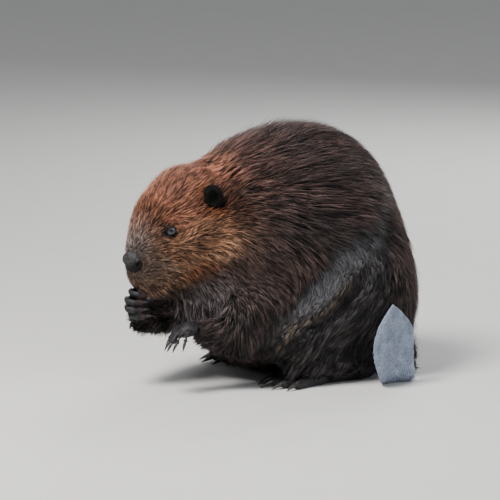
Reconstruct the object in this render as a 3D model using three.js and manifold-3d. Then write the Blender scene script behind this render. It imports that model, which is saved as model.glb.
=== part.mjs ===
// A beaver, life size, sitting hunched on its rump with both forepaws lifted in front of the mouth.
// Millimetres, +Z up. The nose points toward -X and the animal's left side toward -Y.
// Every solid reaches out to the tips of the coat, and the floor is the plane z = 0.
import * as THREE from 'three';
import { mergeVertices } from 'three/addons/utils/BufferGeometryUtils.js';
import Module from 'manifold-3d';

const wasm = await Module();
wasm.setup();

const point = (x, y, z) => new THREE.Vector3(x, y, z);
const degrees = THREE.MathUtils.degToRad;
const LEFT = -1;
const RIGHT = 1;
const SIDES = [['left', LEFT], ['right', RIGHT]];

// Driving dimensions.
const BACK_HEIGHT = 331;
const BODY_WIDTH = 264;
const GAP = 0.35;
const HEAD_TURN = degrees(18);
const HEAD_DROP = degrees(25);
const HEAD_ROLL = degrees(5);
const HEAD_CENTRE = point(-168, -12, 212);
const EYE_RADIUS = 8;
const EYE_APART = 67;
const EAR_APART = 118;
const EAR_HEIGHT = 37;
const HIND_FOOT_LENGTH = 146;
const HIND_FOOT_TURN = degrees(3);
const HIND_CLAW_LENGTH = 15;
const FORE_CLAW_LENGTH = 10;
const CURLED_CLAW_LENGTH = 7;
const TAIL_BLADE_WIDTH = 84;
const TAIL_STEM_WIDTH = 26;
const TAIL_BLADE_THICK = 11;

// How finely each family of pieces is divided: a ball has 20 * (detail + 1)^2 faces.
const TRUNK_DETAIL = 6;
const HEAD_DETAIL = 6;
const NECK_DETAIL = 4;
const LIMB_DETAIL = 2;
const NOSE_DETAIL = 2;
const EAR_DETAIL = 2;
const EYE_DETAIL = 1;
const SHIN_DETAIL = 1;
const PALM_DETAIL = 1;
const ROUND_STEPS = 5;
const CLAW_STEPS = 4;

// How softly neighbouring masses run into each other.
const FACE_SOFTNESS = 16;
const SOCKET_SOFTNESS = 12;
const TRUNK_SOFTNESS = 34;
const THIGH_SOFTNESS = 24;
const LEG_SOFTNESS = 16;
const NECK_SOFTNESS = 22;
const FOOT_SOFTNESS = 18;

// Distance fields: negative inside, in millimetres close to the surface.
function ellipsoid(centre, radii, turn = new THREE.Quaternion()) {
  const back = turn.clone().invert();
  const least = Math.min(radii.x, radii.y, radii.z);
  return (p) => {
    const scaled = p.clone().sub(centre).applyQuaternion(back).divide(radii);
    const share = scaled.length();
    const slope = scaled.divide(radii).length();
    return slope > 0 ? (share * (share - 1)) / slope : -least;
  };
}

function limb(start, end, startRadius, endRadius) {
  const along = end.clone().sub(start);
  const lengthSquared = along.lengthSq();
  return (p) => {
    const offset = p.clone().sub(start);
    const t = THREE.MathUtils.clamp(offset.dot(along) / lengthSquared, 0, 1);
    const away = offset.addScaledVector(along, -t).length();
    return away - THREE.MathUtils.lerp(startRadius, endRadius, t);
  };
}

function softLeast(a, b, softness) {
  const near = Math.max(softness - Math.abs(a - b), 0) / softness;
  return Math.min(a, b) - (near * near * softness) / 4;
}

const blend = (fields, softness) => (p) =>
  fields.reduce((least, field) => softLeast(least, field(p), softness), Infinity);

const dent = (field, hollow, softness) => (p) => -softLeast(-field(p), hollow(p), softness);

const clip = (field, limit) => (p) => Math.max(field(p), limit(p));

// A half space: positive on the side that the normal points to.
function halfSpace(origin, normal) {
  const unit = normal.clone().normalize();
  return { origin, unit, above: (p) => p.clone().sub(origin).dot(unit) };
}

// Solids.
const REACH = 420;
const MARCH = 3;
const HALVINGS = 12;
const WELD = 1e-3;
const DOME = 0.7;

function outermost(field, centre, ray) {
  const at = (r) => field(centre.clone().addScaledVector(ray, r));
  let inside = REACH;
  while (inside > MARCH && at(inside) > 0) inside -= MARCH;
  let outside = inside + MARCH;
  for (let i = 0; i < HALVINGS; i += 1) {
    const middle = (inside + outside) / 2;
    if (at(middle) > 0) outside = middle;
    else inside = middle;
  }
  return (inside + outside) / 2;
}

function solidOf(geometry) {
  const bare = geometry.clone();
  bare.deleteAttribute('normal');
  bare.deleteAttribute('uv');
  const merged = mergeVertices(bare, WELD);
  const corners = [];
  const index = merged.index.array;
  for (let i = 0; i < index.length; i += 3) {
    const [a, b, c] = [index[i], index[i + 1], index[i + 2]];
    if (a !== b && b !== c && c !== a) corners.push(a, b, c);
  }
  const vertProperties = new Float32Array(merged.attributes.position.array);
  return new wasm.Manifold(new wasm.Mesh({ numProp: 3, vertProperties, triVerts: new Uint32Array(corners) }));
}

// A ball whose points are drawn out along their rays until they meet the field's surface.
function drawnBall(field, centre, detail, stretch = point(1, 1, 1)) {
  const ball = new THREE.IcosahedronGeometry(1, detail);
  ball.deleteAttribute('normal');
  ball.deleteAttribute('uv');
  const geometry = mergeVertices(ball, WELD);
  const place = geometry.attributes.position;
  for (let i = 0; i < place.count; i += 1) {
    const ray = point(0, 0, 0).fromBufferAttribute(place, i).multiply(stretch).normalize();
    const out = centre.clone().addScaledVector(ray, outermost(field, centre, ray));
    place.setXYZ(i, out.x, out.y, out.z);
  }
  return solidOf(geometry);
}

const grown = (field, extra) => (p) => field(p) - extra;

// A closed tapering body through rings, each with a centre and two half axes, ending in a point at both ends.
function swept(rings, sides, nearEnd, farEnd) {
  const positions = [];
  const index = [];
  rings.forEach(({ centre, across, up }) => {
    for (let k = 0; k < sides; k += 1) {
      const angle = (2 * Math.PI * k) / sides;
      const p = centre.clone().addScaledVector(across, Math.cos(angle)).addScaledVector(up, Math.sin(angle));
      positions.push(p.x, p.y, p.z);
    }
  });
  const last = rings.length - 1;
  const nearPoint = rings.length * sides;
  positions.push(nearEnd.x, nearEnd.y, nearEnd.z, farEnd.x, farEnd.y, farEnd.z);
  for (let k = 0; k < sides; k += 1) {
    const next = (k + 1) % sides;
    index.push(nearPoint, next, k);
    index.push(nearPoint + 1, last * sides + k, last * sides + next);
    for (let i = 0; i < last; i += 1) {
      const [a, b] = [i * sides + k, i * sides + next];
      index.push(a, b, b + sides, a, b + sides, a + sides);
    }
  }
  const geometry = new THREE.BufferGeometry();
  geometry.setAttribute('position', new THREE.Float32BufferAttribute(positions, 3));
  geometry.setIndex(index);
  return solidOf(geometry);
}

// A round tapering rod bent through its joints, with a domed end at each side, for toes, fingers and claws.
const STEEP = 0.8;
function bentRod(joints, startRadius, endRadius, sides = ROUND_STEPS) {
  const last = joints.length - 1;
  const rings = joints.map((centre, i) => {
    const along = joints[Math.min(i + 1, last)].clone().sub(joints[Math.max(i - 1, 0)]).normalize();
    const hint = Math.abs(along.z) < STEEP ? point(0, 0, 1) : point(0, 1, 0);
    const radius = THREE.MathUtils.lerp(startRadius, endRadius, i / last);
    const across = along.clone().cross(hint).setLength(radius);
    const up = along.clone().cross(across).setLength(radius);
    return { centre, across, up, along, radius };
  });
  const nearEnd = joints[0].clone().addScaledVector(rings[0].along, -startRadius * DOME);
  const farEnd = joints[last].clone().addScaledVector(rings[last].along, endRadius * DOME);
  return swept(rings, sides, nearEnd, farEnd);
}

const BLOCK = 900;

// Everything on the far side of a plane, moved back by the gap that neighbours keep.
function beyond(plane, extra = 0) {
  const geometry = new THREE.BoxGeometry(BLOCK, BLOCK, BLOCK);
  geometry.translate(0, 0, BLOCK / 2 - extra);
  geometry.applyQuaternion(new THREE.Quaternion().setFromUnitVectors(point(0, 0, 1), plane.unit));
  geometry.translate(plane.origin.x, plane.origin.y, plane.origin.z);
  return solidOf(geometry);
}

const FLOOR = halfSpace(point(0, 0, 0), point(0, 0, -1));
const underFloor = beyond(FLOOR);
const onFloor = (solid) => solid.subtract(underFloor);
const joined = (solids) => solids.reduce((whole, solid) => whole.add(solid));
const without = (solid, others) => others.reduce((rest, other) => rest.subtract(other), solid);

// The head, in its own frame: forward along the muzzle, toward one side, and up.
const headTurn = new THREE.Quaternion()
  .setFromAxisAngle(point(0, 0, 1), HEAD_TURN)
  .multiply(new THREE.Quaternion().setFromAxisAngle(point(0, 1, 0), -HEAD_DROP))
  .multiply(new THREE.Quaternion().setFromAxisAngle(point(1, 0, 0), -HEAD_ROLL));
const inHead = (forward, aside, up) =>
  point(-forward, aside, up).applyQuaternion(headTurn).add(HEAD_CENTRE);
const headMass = (forward, aside, up, length, width, height) =>
  ellipsoid(inHead(forward, aside, up), point(length, width, height), headTurn);

const skull = [
  headMass(-20, 0, 11, 60, 58, 48),
  headMass(14, 0, 11, 52, 47, 42),
  headMass(42, 0, -4, 38, 34, 36),
  headMass(64, 0, -13, 27, 28, 29),
];
const cheeks = SIDES.map(([, side]) => headMass(2, side * 30, -20, 48, 38, 42));
const lips = SIDES.map(([, side]) => headMass(70, side * 12, -33, 29, 19, 21));
const chin = [headMass(42, 0, -53, 36, 28, 24), headMass(-2, 0, -61, 48, 44, 38)];
const eyeSockets = SIDES.map(([, side]) => headMass(38, side * 54, 11.5, 20, 14, 14));
const headField = eyeSockets.reduce(
  (field, socket) => dent(field, socket, SOCKET_SOFTNESS),
  blend([...skull, ...cheeks, ...lips, ...chin], FACE_SOFTNESS),
);

// The trunk and neck, as masses under one coat.
const HALF_WIDTH = BODY_WIDTH / 2;
const rump = ellipsoid(point(70, 0, 102), point(101, HALF_WIDTH, 128));
const back = ellipsoid(point(19, 0, 188), point(126, HALF_WIDTH - 12, BACK_HEIGHT - 188));
const shoulders = ellipsoid(point(-61, -2, 175), point(82, 102, 136));
const belly = ellipsoid(point(-28, 0, 84), point(104, 106, 76));
const nape = limb(point(-56, 0, 220), inHead(-44, 0, 2), 92, 56);
const chest = ellipsoid(point(-104, -10, 118), point(50, 64, 54));
const softBody = blend([rump, back, shoulders, belly, nape, chest], TRUNK_SOFTNESS);

// Hind legs: each thigh lies folded along the flank, swelling out of the rump.
const HIP = (side) => point(58, side * 84, 134);
const KNEE = (side) => point(-46, side * 100, 56);
const HAM = (side) => ellipsoid(point(52, side * 84, 84), point(62, 50, 66));
const HIP_RADIUS = 54;
const KNEE_RADIUS = 37;
const thighField = (side) =>
  blend([limb(HIP(side), KNEE(side), HIP_RADIUS, KNEE_RADIUS), HAM(side)], THIGH_SOFTNESS);

// Forelegs, each with a shoulder end, an elbow and a wrist.
const FORELEGS = {
  left: { shoulder: point(-66, -66, 140), elbow: point(-112, -88, 70), wrist: point(-163, -82, 80) },
  right: { shoulder: point(-70, 66, 140), elbow: point(-150, 40, 88), wrist: point(-226, -17, 92) },
};
const bodyField = blend([softBody, ...SIDES.map(([, side]) => thighField(side))], LEG_SOFTNESS);
const wholeField = blend([bodyField, headField], NECK_SOFTNESS);

const headPlane = halfSpace(inHead(-50, 0, 0), inHead(1, 0, 0).sub(inHead(0, 0, 0)));
const shoulderPlane = halfSpace(point(-84, 0, 230), point(-0.96, -0.05, 0.27));
const throatPlane = halfSpace(point(-112, -5, 134), point(-0.3, -0.1, 0.95));
const SPARE = 22;

const headRegion = (extra) => beyond(headPlane, extra).intersect(beyond(throatPlane, extra));
const neckRegion = (extra) => beyond(shoulderPlane, extra).intersect(beyond(throatPlane, extra));
const headLimit = (p) => Math.max(-headPlane.above(p), -throatPlane.above(p)) - SPARE;
const neckLimit = (p) =>
  Math.max(-shoulderPlane.above(p), headPlane.above(p), -throatPlane.above(p)) - SPARE;
const trunkLimit = (p) => Math.min(shoulderPlane.above(p), throatPlane.above(p)) - SPARE;

const wholeHead = drawnBall(clip(wholeField, headLimit), HEAD_CENTRE, HEAD_DETAIL);
const wholeNeck = drawnBall(clip(wholeField, neckLimit), point(-110, 0, 236), NECK_DETAIL);
const wholeTrunk = drawnBall(clip(bodyField, trunkLimit), point(0, 0, 160), TRUNK_DETAIL);

// Head fittings.
const mouthPlane = halfSpace(inHead(78, 0, -38), inHead(0.1, 0, -1).sub(inHead(0, 0, 0)));
const jawBackPlane = halfSpace(inHead(14, 0, -37), inHead(1, 0, 0).sub(inHead(0, 0, 0)));
const jawRegion = (extra) => beyond(mouthPlane, extra).intersect(beyond(jawBackPlane, extra));
const NOSE_AT = [89, 0, -9];
const noseSolid = (extra) =>
  drawnBall(grown(headMass(...NOSE_AT, 11, 14.5, 15.5), extra), inHead(...NOSE_AT), NOSE_DETAIL);
const EYE_FORWARD = 37.5;
const EYE_UP = 11.5;
const eyeCentre = (side) => inHead(EYE_FORWARD, (side * EYE_APART) / 2, EYE_UP);
const eyeSolid = (side, extra) =>
  drawnBall(
    grown(ellipsoid(eyeCentre(side), point(EYE_RADIUS, EYE_RADIUS, EYE_RADIUS)), extra),
    eyeCentre(side),
    EYE_DETAIL,
  );

const EAR_SWING = degrees(-28);
const EAR_LEAN = degrees(-24);
const EAR_BACK = -26;
const EAR_UP = (side) => (side === LEFT ? 23 : 16);
const earTurn = (side) =>
  headTurn
    .clone()
    .multiply(new THREE.Quaternion().setFromAxisAngle(point(0, 0, 1), side * EAR_SWING))
    .multiply(new THREE.Quaternion().setFromAxisAngle(point(1, 0, 0), side * EAR_LEAN));
const earCentre = (side) => inHead(EAR_BACK, (side * EAR_APART) / 2, EAR_UP(side));
const earSolid = (side, extra) => {
  const pinna = ellipsoid(earCentre(side), point(6, 13, EAR_HEIGHT / 2), earTurn(side));
  return drawnBall(grown(pinna, extra), earCentre(side), EAR_DETAIL);
};
const earBowl = (side) => {
  const ahead = point(-7, side * 2, 3).applyQuaternion(earTurn(side)).add(earCentre(side));
  return drawnBall(ellipsoid(ahead, point(7, 9, EAR_HEIGHT / 2 - 5), earTurn(side)), ahead, PALM_DETAIL);
};

// A region of the coat seen from one side: an outline grown by the gap, drawn outward from an inner wall.
const THIGH_WALL = 60;
const THIGH_OUTLINE = [60, 42];
const OUTLINE_STEPS = 6;
const OUT = 140;
function sideRegion(side, ends, radii, wall, extra) {
  const outline = new THREE.Shape();
  const [start, end] = ends.map((p) => new THREE.Vector2(p.x, p.z));
  const heading = end.clone().sub(start).angle();
  outline.absarc(start.x, start.y, radii[0] + extra, heading + Math.PI / 2, heading + 1.5 * Math.PI);
  outline.absarc(end.x, end.y, radii[1] + extra, heading - Math.PI / 2, heading + Math.PI / 2);
  const options = { depth: OUT, bevelEnabled: false, curveSegments: OUTLINE_STEPS };
  const geometry = new THREE.ExtrudeGeometry(outline, options);
  geometry.rotateX(Math.PI / 2);
  geometry.translate(0, side === LEFT ? -wall + extra : OUT + wall - extra, 0);
  return solidOf(geometry);
}
const thighRegion = (side, extra) =>
  sideRegion(side, [HIP(side), KNEE(side)], THIGH_OUTLINE, THIGH_WALL, extra);

const shinField = (side) => limb(point(-30, side * 100, 40), point(54, side * 92, 28), 30, 28);
const shinSolid = (side, extra) =>
  drawnBall(grown(shinField(side), extra), point(12, side * 96, 34), SHIN_DETAIL, point(1.5, 1, 1));

const HEEL = (side) => point(72, side * 84, 0);
const footTurn = (side) => new THREE.Quaternion().setFromAxisAngle(point(0, 0, 1), side * -HIND_FOOT_TURN);
const inFoot = (side, forward, aside, up) =>
  point(-forward, side * aside, up).applyQuaternion(footTurn(side)).add(HEEL(side));
const HIND_TOES = [-20, -10, 0, 10, 20].map(degrees);
const INSTEP = 66;
const TOE_SHORTER = [16, 6, 0, 4, 14];
const TOE_FAN = 30;
const toeLength = (i) => HIND_FOOT_LENGTH - INSTEP - TOE_SHORTER[i];
const toeAt = (side, i, share, up) => {
  const reach = toeLength(i) * share;
  const spread = Math.tan(HIND_TOES[i]) * TOE_FAN;
  return inFoot(side, INSTEP + reach * Math.cos(HIND_TOES[i]), spread + reach * Math.sin(HIND_TOES[i]), up);
};
const TOE_ROOT = -0.1;
const TOE_END = 0.92;
const TOE_TIP = 0.97;
const WEB_EDGE = 0.84;
const WEB_THICK = 5;
const WEB_LIFT = 1;
const TOE_RADII = [8, 5.5];
const HIND_CLAW_RADIUS = 3;
const FORE_CLAW_RADIUS = 2.2;
const CLAW_POINT = 0.8;
const toeJoints = (side, i) => [toeAt(side, i, TOE_ROOT, 8), toeAt(side, i, TOE_END, 6)];
const instepField = (side) =>
  blend([limb(inFoot(side, 4, 0, 15), inFoot(side, 50, 0, 12), 17, 17),
    limb(inFoot(side, INSTEP, -13, 9), inFoot(side, INSTEP, 13, 9), 11, 11)], FOOT_SOFTNESS);
const webSolid = (side, extra) => {
  const outline = new THREE.Shape();
  const corners = HIND_TOES.map((_, i) => toeAt(side, i, WEB_EDGE, 0));
  const heelSide = [inFoot(side, INSTEP - 14, 14, 0), inFoot(side, INSTEP - 14, -14, 0)];
  const ring = [...corners, ...heelSide];
  ring.forEach((p, i) => (i ? outline.lineTo(p.x, p.y) : outline.moveTo(p.x, p.y)));
  const depth = WEB_THICK + 2 * extra;
  const geometry = new THREE.ExtrudeGeometry(outline, { depth, bevelEnabled: false });
  return solidOf(geometry.translate(0, 0, WEB_LIFT - extra));
};
const instepSolid = (side, extra) =>
  drawnBall(grown(instepField(side), extra), inFoot(side, INSTEP / 2, 0, 9), PALM_DETAIL, point(1.6, 1, 0.5));
const hindFootSolid = (side, extra) =>
  onFloor(
    joined([
      instepSolid(side, extra),
      webSolid(side, extra),
      ...HIND_TOES.map((_, i) => bentRod(toeJoints(side, i), ...TOE_RADII.map((radius) => radius + extra))),
    ]),
  );
const hindClaw = (side, i, extra) => {
  const joints = [toeAt(side, i, TOE_TIP, 6.5), toeAt(side, i, TOE_TIP + HIND_CLAW_LENGTH / toeLength(i), 1.8)];
  return onFloor(bentRod(joints, HIND_CLAW_RADIUS + extra, CLAW_POINT + extra, CLAW_STEPS));
};

const SHOULDER_RADIUS = 46;
const ELBOW_RADIUS = 33;
const FOREARM_RADIUS = 26;
const WRIST_RADIUS = 17;
const FOREARM_START = 0.12;
const limbSolid = (start, end, startRadius, endRadius, extra, stretch) =>
  drawnBall(
    grown(limb(start, end, startRadius, endRadius), extra),
    start.clone().lerp(end, 0.5),
    LIMB_DETAIL,
    stretch,
  );
const upperArmSolid = ({ shoulder, elbow }, extra) =>
  limbSolid(shoulder, elbow, SHOULDER_RADIUS, ELBOW_RADIUS, extra);
const forearmSolid = ({ elbow, wrist }, extra) => {
  const start = elbow.clone().lerp(wrist, FOREARM_START);
  return limbSolid(start, wrist, FOREARM_RADIUS, WRIST_RADIUS, extra, point(1.3, 1, 1));
};

// A hand is a palm with five fingers, each bent through its joints.
const FINGER_TAPER = 0.85;
function handSolid(hand, extra) {
  const palm = drawnBall(
    grown(ellipsoid(hand.palm, hand.palmRadii, hand.turn), extra),
    hand.palm,
    PALM_DETAIL,
  );
  const fingers = hand.fingers.map((joints) =>
    bentRod(joints, hand.fingerRadius + extra, hand.fingerRadius * FINGER_TAPER + extra));
  return joined([palm, ...fingers]);
}
const FIST = point(-232, -28, 112);
const FLAT_HAND = point(-186, -84, 84);
const inFist = (ahead, away, up) => point(FIST.x - ahead, FIST.y + away, FIST.z + up);
const fistFinger = (up, reach) => [
  inFist(-8, 10, up),
  inFist(reach - 3, 8, up + 1),
  inFist(reach, -2, up),
  inFist(reach - 6, -9, up - 1),
  inFist(reach - 16, -9, up - 1),
];
const flatTurn = new THREE.Quaternion()
  .setFromAxisAngle(point(0, 0, 1), degrees(14))
  .multiply(new THREE.Quaternion().setFromAxisAngle(point(0, 1, 0), degrees(-18)));
const inFlatHand = (ahead, aside, up) => point(-ahead, aside, up).applyQuaternion(flatTurn).add(FLAT_HAND);
const flatFinger = (aside, reach) => [
  inFlatHand(6, aside * 0.8, 1),
  inFlatHand(reach * 0.62, aside, 1),
  inFlatHand(reach, aside * 1.1, -6),
];
const HANDS = {
  left: {
    palm: FLAT_HAND,
    palmRadii: point(17, 15, 9),
    turn: flatTurn,
    fingerRadius: 4.2,
    clawLength: FORE_CLAW_LENGTH,
    fingers: [
      flatFinger(-14, 18),
      flatFinger(-7, 26),
      flatFinger(0, 28),
      flatFinger(7, 26),
      flatFinger(14, 19),
    ],
  },
  right: {
    palm: inFist(-5, 8, -3),
    palmRadii: point(13, 9, 19),
    turn: new THREE.Quaternion(),
    fingerRadius: 4.6,
    clawLength: CURLED_CLAW_LENGTH,
    fingers: [fistFinger(14, 8), fistFinger(4, 14), fistFinger(-6, 14), fistFinger(-15, 9), [
      inFist(-12, 2, 8),
      inFist(-10, -7, 14),
      inFist(-4, -10, 17),
    ]],
  },
};
const foreClaw = (hand, i, extra) => {
  const [knuckle, tip] = hand.fingers[i].slice(-2);
  const aim = tip.clone().sub(knuckle).normalize();
  const start = tip.clone().addScaledVector(aim, hand.fingerRadius);
  const end = start.clone().addScaledVector(aim, hand.clawLength);
  return bentRod([start, end], FORE_CLAW_RADIUS + extra, CLAW_POINT + extra, CLAW_STEPS);
};

// The tail: a furred root, then a scaly blade that bends up beside the left haunch.
const tailCurve = new THREE.CatmullRomCurve3([
  point(108, -14, 42),
  point(130, -54, 21),
  point(118, -98, 6),
  point(92, -136, 9),
  point(77, -152, 52),
  point(73, -156, 109),
]);
const TAIL_ROOT_END = 0.3;
const TAIL_ROOT_BULGE = 0.16;
const TAIL_ROOT_RADII = [42, 30, 20];
const TAIL_ROOT_SOFTNESS = 16;
const LEAF_LEAN = 2.4;
const TIP_HALF_WIDTH = 1;
const TIP_THIN = 0.35;
const THIN_SPAN = 0.4;
const TWIST_SPAN = [0.4, 0.75];
const TAIL_STEPS = 16;
const BLADE_SIDES = 8;
const WIDTH_LOW = point(0.83, -0.55, 0);
const WIDTH_HIGH = point(0.9, 0.44, 0);
const bladeHalfWidth = (t) => {
  const share = (t - TAIL_ROOT_END) / (1 - TAIL_ROOT_END);
  const leaf = Math.sin(Math.PI * share ** LEAF_LEAN);
  const stem = TAIL_STEM_WIDTH * (1 - share);
  return (TAIL_BLADE_WIDTH * leaf + stem) / 2 + TIP_HALF_WIDTH;
};
const rootJoints = [0, TAIL_ROOT_BULGE, TAIL_ROOT_END].map((t) => tailCurve.getPoint(t));
const tailRootField = blend(
  [0, 1].map((i) => limb(rootJoints[i], rootJoints[i + 1], TAIL_ROOT_RADII[i], TAIL_ROOT_RADII[i + 1])),
  TAIL_ROOT_SOFTNESS,
);
const tailRootSolid = (extra) =>
  onFloor(drawnBall(grown(tailRootField, extra), rootJoints[1], LIMB_DETAIL, point(1.2, 1.2, 1)));

function bladeSolid(extra) {
  const rings = [];
  for (let i = 0; i <= TAIL_STEPS; i += 1) {
    const t = TAIL_ROOT_END + ((1 - TAIL_ROOT_END) * i) / TAIL_STEPS;
    const along = tailCurve.getTangent(t);
    const hint = WIDTH_LOW.clone().lerp(WIDTH_HIGH, THREE.MathUtils.smoothstep(t, ...TWIST_SPAN));
    const across = hint.addScaledVector(along, -hint.dot(along)).setLength(bladeHalfWidth(t) + extra);
    const thinning = THREE.MathUtils.lerp(TIP_THIN, 1, Math.min(1, (1 - t) / THIN_SPAN));
    const up = along.clone().cross(across).setLength((TAIL_BLADE_THICK / 2) * thinning + extra);
    rings.push({ centre: tailCurve.getPoint(t), across, up });
  }
  const nearEnd = rings[0].centre.clone().addScaledVector(tailCurve.getTangent(TAIL_ROOT_END), -2);
  const farEnd = tailCurve.getPoint(1).addScaledVector(tailCurve.getTangent(1), 1 + extra);
  return onFloor(swept(rings, BLADE_SIDES, nearEnd, farEnd));
}

// Finishes.
const finish = (colour, roughness) =>
  new THREE.MeshStandardMaterial({ color: colour, roughness, metalness: 0 });
const FINISHES = {
  body_fur: finish(0x4a3128, 0.8),
  head_fur: finish(0x8a5a35, 0.8),
  leg_fur: finish(0x3b3532, 0.65),
  ear_skin: finish(0x1c1a1a, 0.7),
  nose_skin: finish(0x33353a, 0.5),
  foot_skin: finish(0x3c4048, 0.55),
  tail_skin: finish(0x8d99a8, 0.6),
  claw_horn: finish(0x2a2624, 0.35),
  eye: finish(0x5a6670, 0.08),
};

// Assembly: each smaller piece keeps its whole shape, and larger neighbours are cut clear of it.
const beaver = new THREE.Group();

function add(name, solid, finishName) {
  const made = solid.getMesh();
  const places = new Float32Array(made.numVert * 3);
  for (let i = 0; i < made.numVert; i += 1) {
    for (let axis = 0; axis < 3; axis += 1) {
      places[3 * i + axis] = made.vertProperties[made.numProp * i + axis];
    }
  }
  const geometry = new THREE.BufferGeometry();
  geometry.setAttribute('position', new THREE.BufferAttribute(places, 3));
  geometry.setIndex(new THREE.BufferAttribute(new Uint32Array(made.triVerts), 1));
  geometry.computeVertexNormals();
  const mesh = new THREE.Mesh(geometry, FINISHES[finishName]);
  mesh.name = name;
  beaver.add(mesh);
}

const bothSides = (make) => SIDES.map(([, side]) => make(side));
const forelegs = Object.values(FORELEGS);
const hands = Object.values(HANDS);

SIDES.forEach(([name, side]) => {
  add(`eye_${name}`, eyeSolid(side, 0), 'eye');
  add(`ear_${name}`, without(earSolid(side, 0), [earBowl(side)]), 'ear_skin');
});
add('nose', noseSolid(0), 'nose_skin');

const faceFittings = [
  noseSolid(GAP),
  ...bothSides((side) => eyeSolid(side, GAP)),
  ...bothSides((side) => earSolid(side, GAP)),
];
const handsGrown = hands.map((hand) => handSolid(hand, GAP));
const forearmsGrown = forelegs.map((leg) => forearmSolid(leg, GAP));
const upperArmsGrown = forelegs.map((leg) => upperArmSolid(leg, GAP));
const fullHead = without(wholeHead.intersect(headRegion(0)), [...faceFittings, ...handsGrown]);
add('head', fullHead.subtract(jawRegion(GAP)), 'head_fur');
add('lower_jaw', fullHead.intersect(jawRegion(0)), 'head_fur');
add(
  'neck',
  without(wholeNeck.intersect(neckRegion(0)), [headRegion(GAP), ...bothSides((side) => earSolid(side, GAP))]),
  'head_fur',
);

const feetGrown = bothSides((side) => hindFootSolid(side, GAP));
const shinsGrown = bothSides((side) => shinSolid(side, GAP));
const coat = onFloor(
  without(wholeTrunk, [
    headRegion(GAP),
    neckRegion(GAP),
    ...upperArmsGrown,
    ...forearmsGrown,
    ...shinsGrown,
    ...bothSides((side) => instepSolid(side, GAP)),
    tailRootSolid(GAP),
    bladeSolid(GAP),
  ]),
);
const thighRegions = (extra) => bothSides((side) => thighRegion(side, extra));
add('trunk', without(coat, thighRegions(GAP)), 'body_fur');
thighRegions(0).forEach((region, i) => add(`thigh_${SIDES[i][0]}`, coat.intersect(region), 'leg_fur'));

Object.entries(FORELEGS).forEach(([name, leg], i) => {
  const upperArm = without(upperArmSolid(leg, 0), [forearmsGrown[i], headRegion(GAP), neckRegion(GAP)]);
  add(`foreleg_upper_${name}`, without(upperArm, thighRegions(GAP)), 'body_fur');
  add(`foreleg_lower_${name}`, forearmSolid(leg, 0).subtract(handsGrown[i]), 'leg_fur');
  const hand = HANDS[name];
  const claws = hand.fingers.map((_, k) => foreClaw(hand, k, 0));
  const clawsGrown = hand.fingers.map((_, k) => foreClaw(hand, k, GAP));
  add(`forepaw_${name}`, without(handSolid(hand, 0), clawsGrown), 'foot_skin');
  claws.forEach((claw, k) => add(`fore_claw_${name}_${k + 1}`, claw, 'claw_horn'));
});

SIDES.forEach(([name, side], i) => {
  add(`shin_${name}`, onFloor(shinSolid(side, 0)).subtract(feetGrown[i]), 'leg_fur');
  const clawsGrown = HIND_TOES.map((_, k) => hindClaw(side, k, GAP));
  add(`hindfoot_${name}`, without(hindFootSolid(side, 0), clawsGrown), 'foot_skin');
  HIND_TOES.forEach((_, k) => add(`hind_claw_${name}_${k + 1}`, hindClaw(side, k, 0), 'claw_horn'));
});

add('tail_root', tailRootSolid(0).subtract(bladeSolid(GAP)), 'body_fur');
add('tail_blade', bladeSolid(0), 'tail_skin');

// The origin is the middle of the bounding box's floor.
const middle = new THREE.Box3().setFromObject(beaver).getCenter(point(0, 0, 0));
beaver.children.forEach((mesh) => mesh.geometry.translate(-middle.x, -middle.y, 0));

export default beaver;
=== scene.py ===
"""A sitting beaver: one skin, a coat of tufts, eyes, claws, whiskers and tail scales over its solids."""

import math

import bmesh
import bpy
import numpy as np
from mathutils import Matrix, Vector
from mathutils.bvhtree import BVHTree
from mathutils.kdtree import KDTree


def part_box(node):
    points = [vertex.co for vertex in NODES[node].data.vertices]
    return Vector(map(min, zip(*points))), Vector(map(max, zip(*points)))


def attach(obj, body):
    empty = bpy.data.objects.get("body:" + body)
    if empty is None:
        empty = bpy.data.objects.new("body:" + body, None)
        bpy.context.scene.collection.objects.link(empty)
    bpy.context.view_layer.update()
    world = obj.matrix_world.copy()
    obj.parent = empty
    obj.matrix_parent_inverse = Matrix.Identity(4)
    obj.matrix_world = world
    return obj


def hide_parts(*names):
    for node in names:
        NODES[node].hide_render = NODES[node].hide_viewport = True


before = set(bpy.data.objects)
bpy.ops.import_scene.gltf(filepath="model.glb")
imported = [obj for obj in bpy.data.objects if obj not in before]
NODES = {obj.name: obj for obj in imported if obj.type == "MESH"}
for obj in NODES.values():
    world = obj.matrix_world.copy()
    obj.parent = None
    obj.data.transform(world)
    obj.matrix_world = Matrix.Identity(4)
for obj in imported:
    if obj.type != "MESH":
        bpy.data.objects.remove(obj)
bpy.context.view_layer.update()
MM = 0.001
SIDES = {"left": -1, "right": 1}
ALL_ROUND = 2 * math.pi

# What the random draws start from.
SEEDS = {"scales": 12, "whiskers": 31, "ears": 60, "coat": 100}

# The slow waves that break up what would be too even: their length in millimetres and their seed.
WAVES = {
    "sway": (46, 5),
    "small_sway": (15, 6),
    "tone": (12, 8),
    "wet_edge": (22, 21),
    "small_wet_edge": (8, 22),
}

# How far above the floor, in millimetres, each kind of point is kept.
LOWEST_MM = {
    "skin": 0.05,
    "claw": 0.1,
    "scale": 0.1,
    "tuft": 0.2,
    "hide": 0.3,
    "claw_path": 0.8,
    "tip": 1.0,
}


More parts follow.
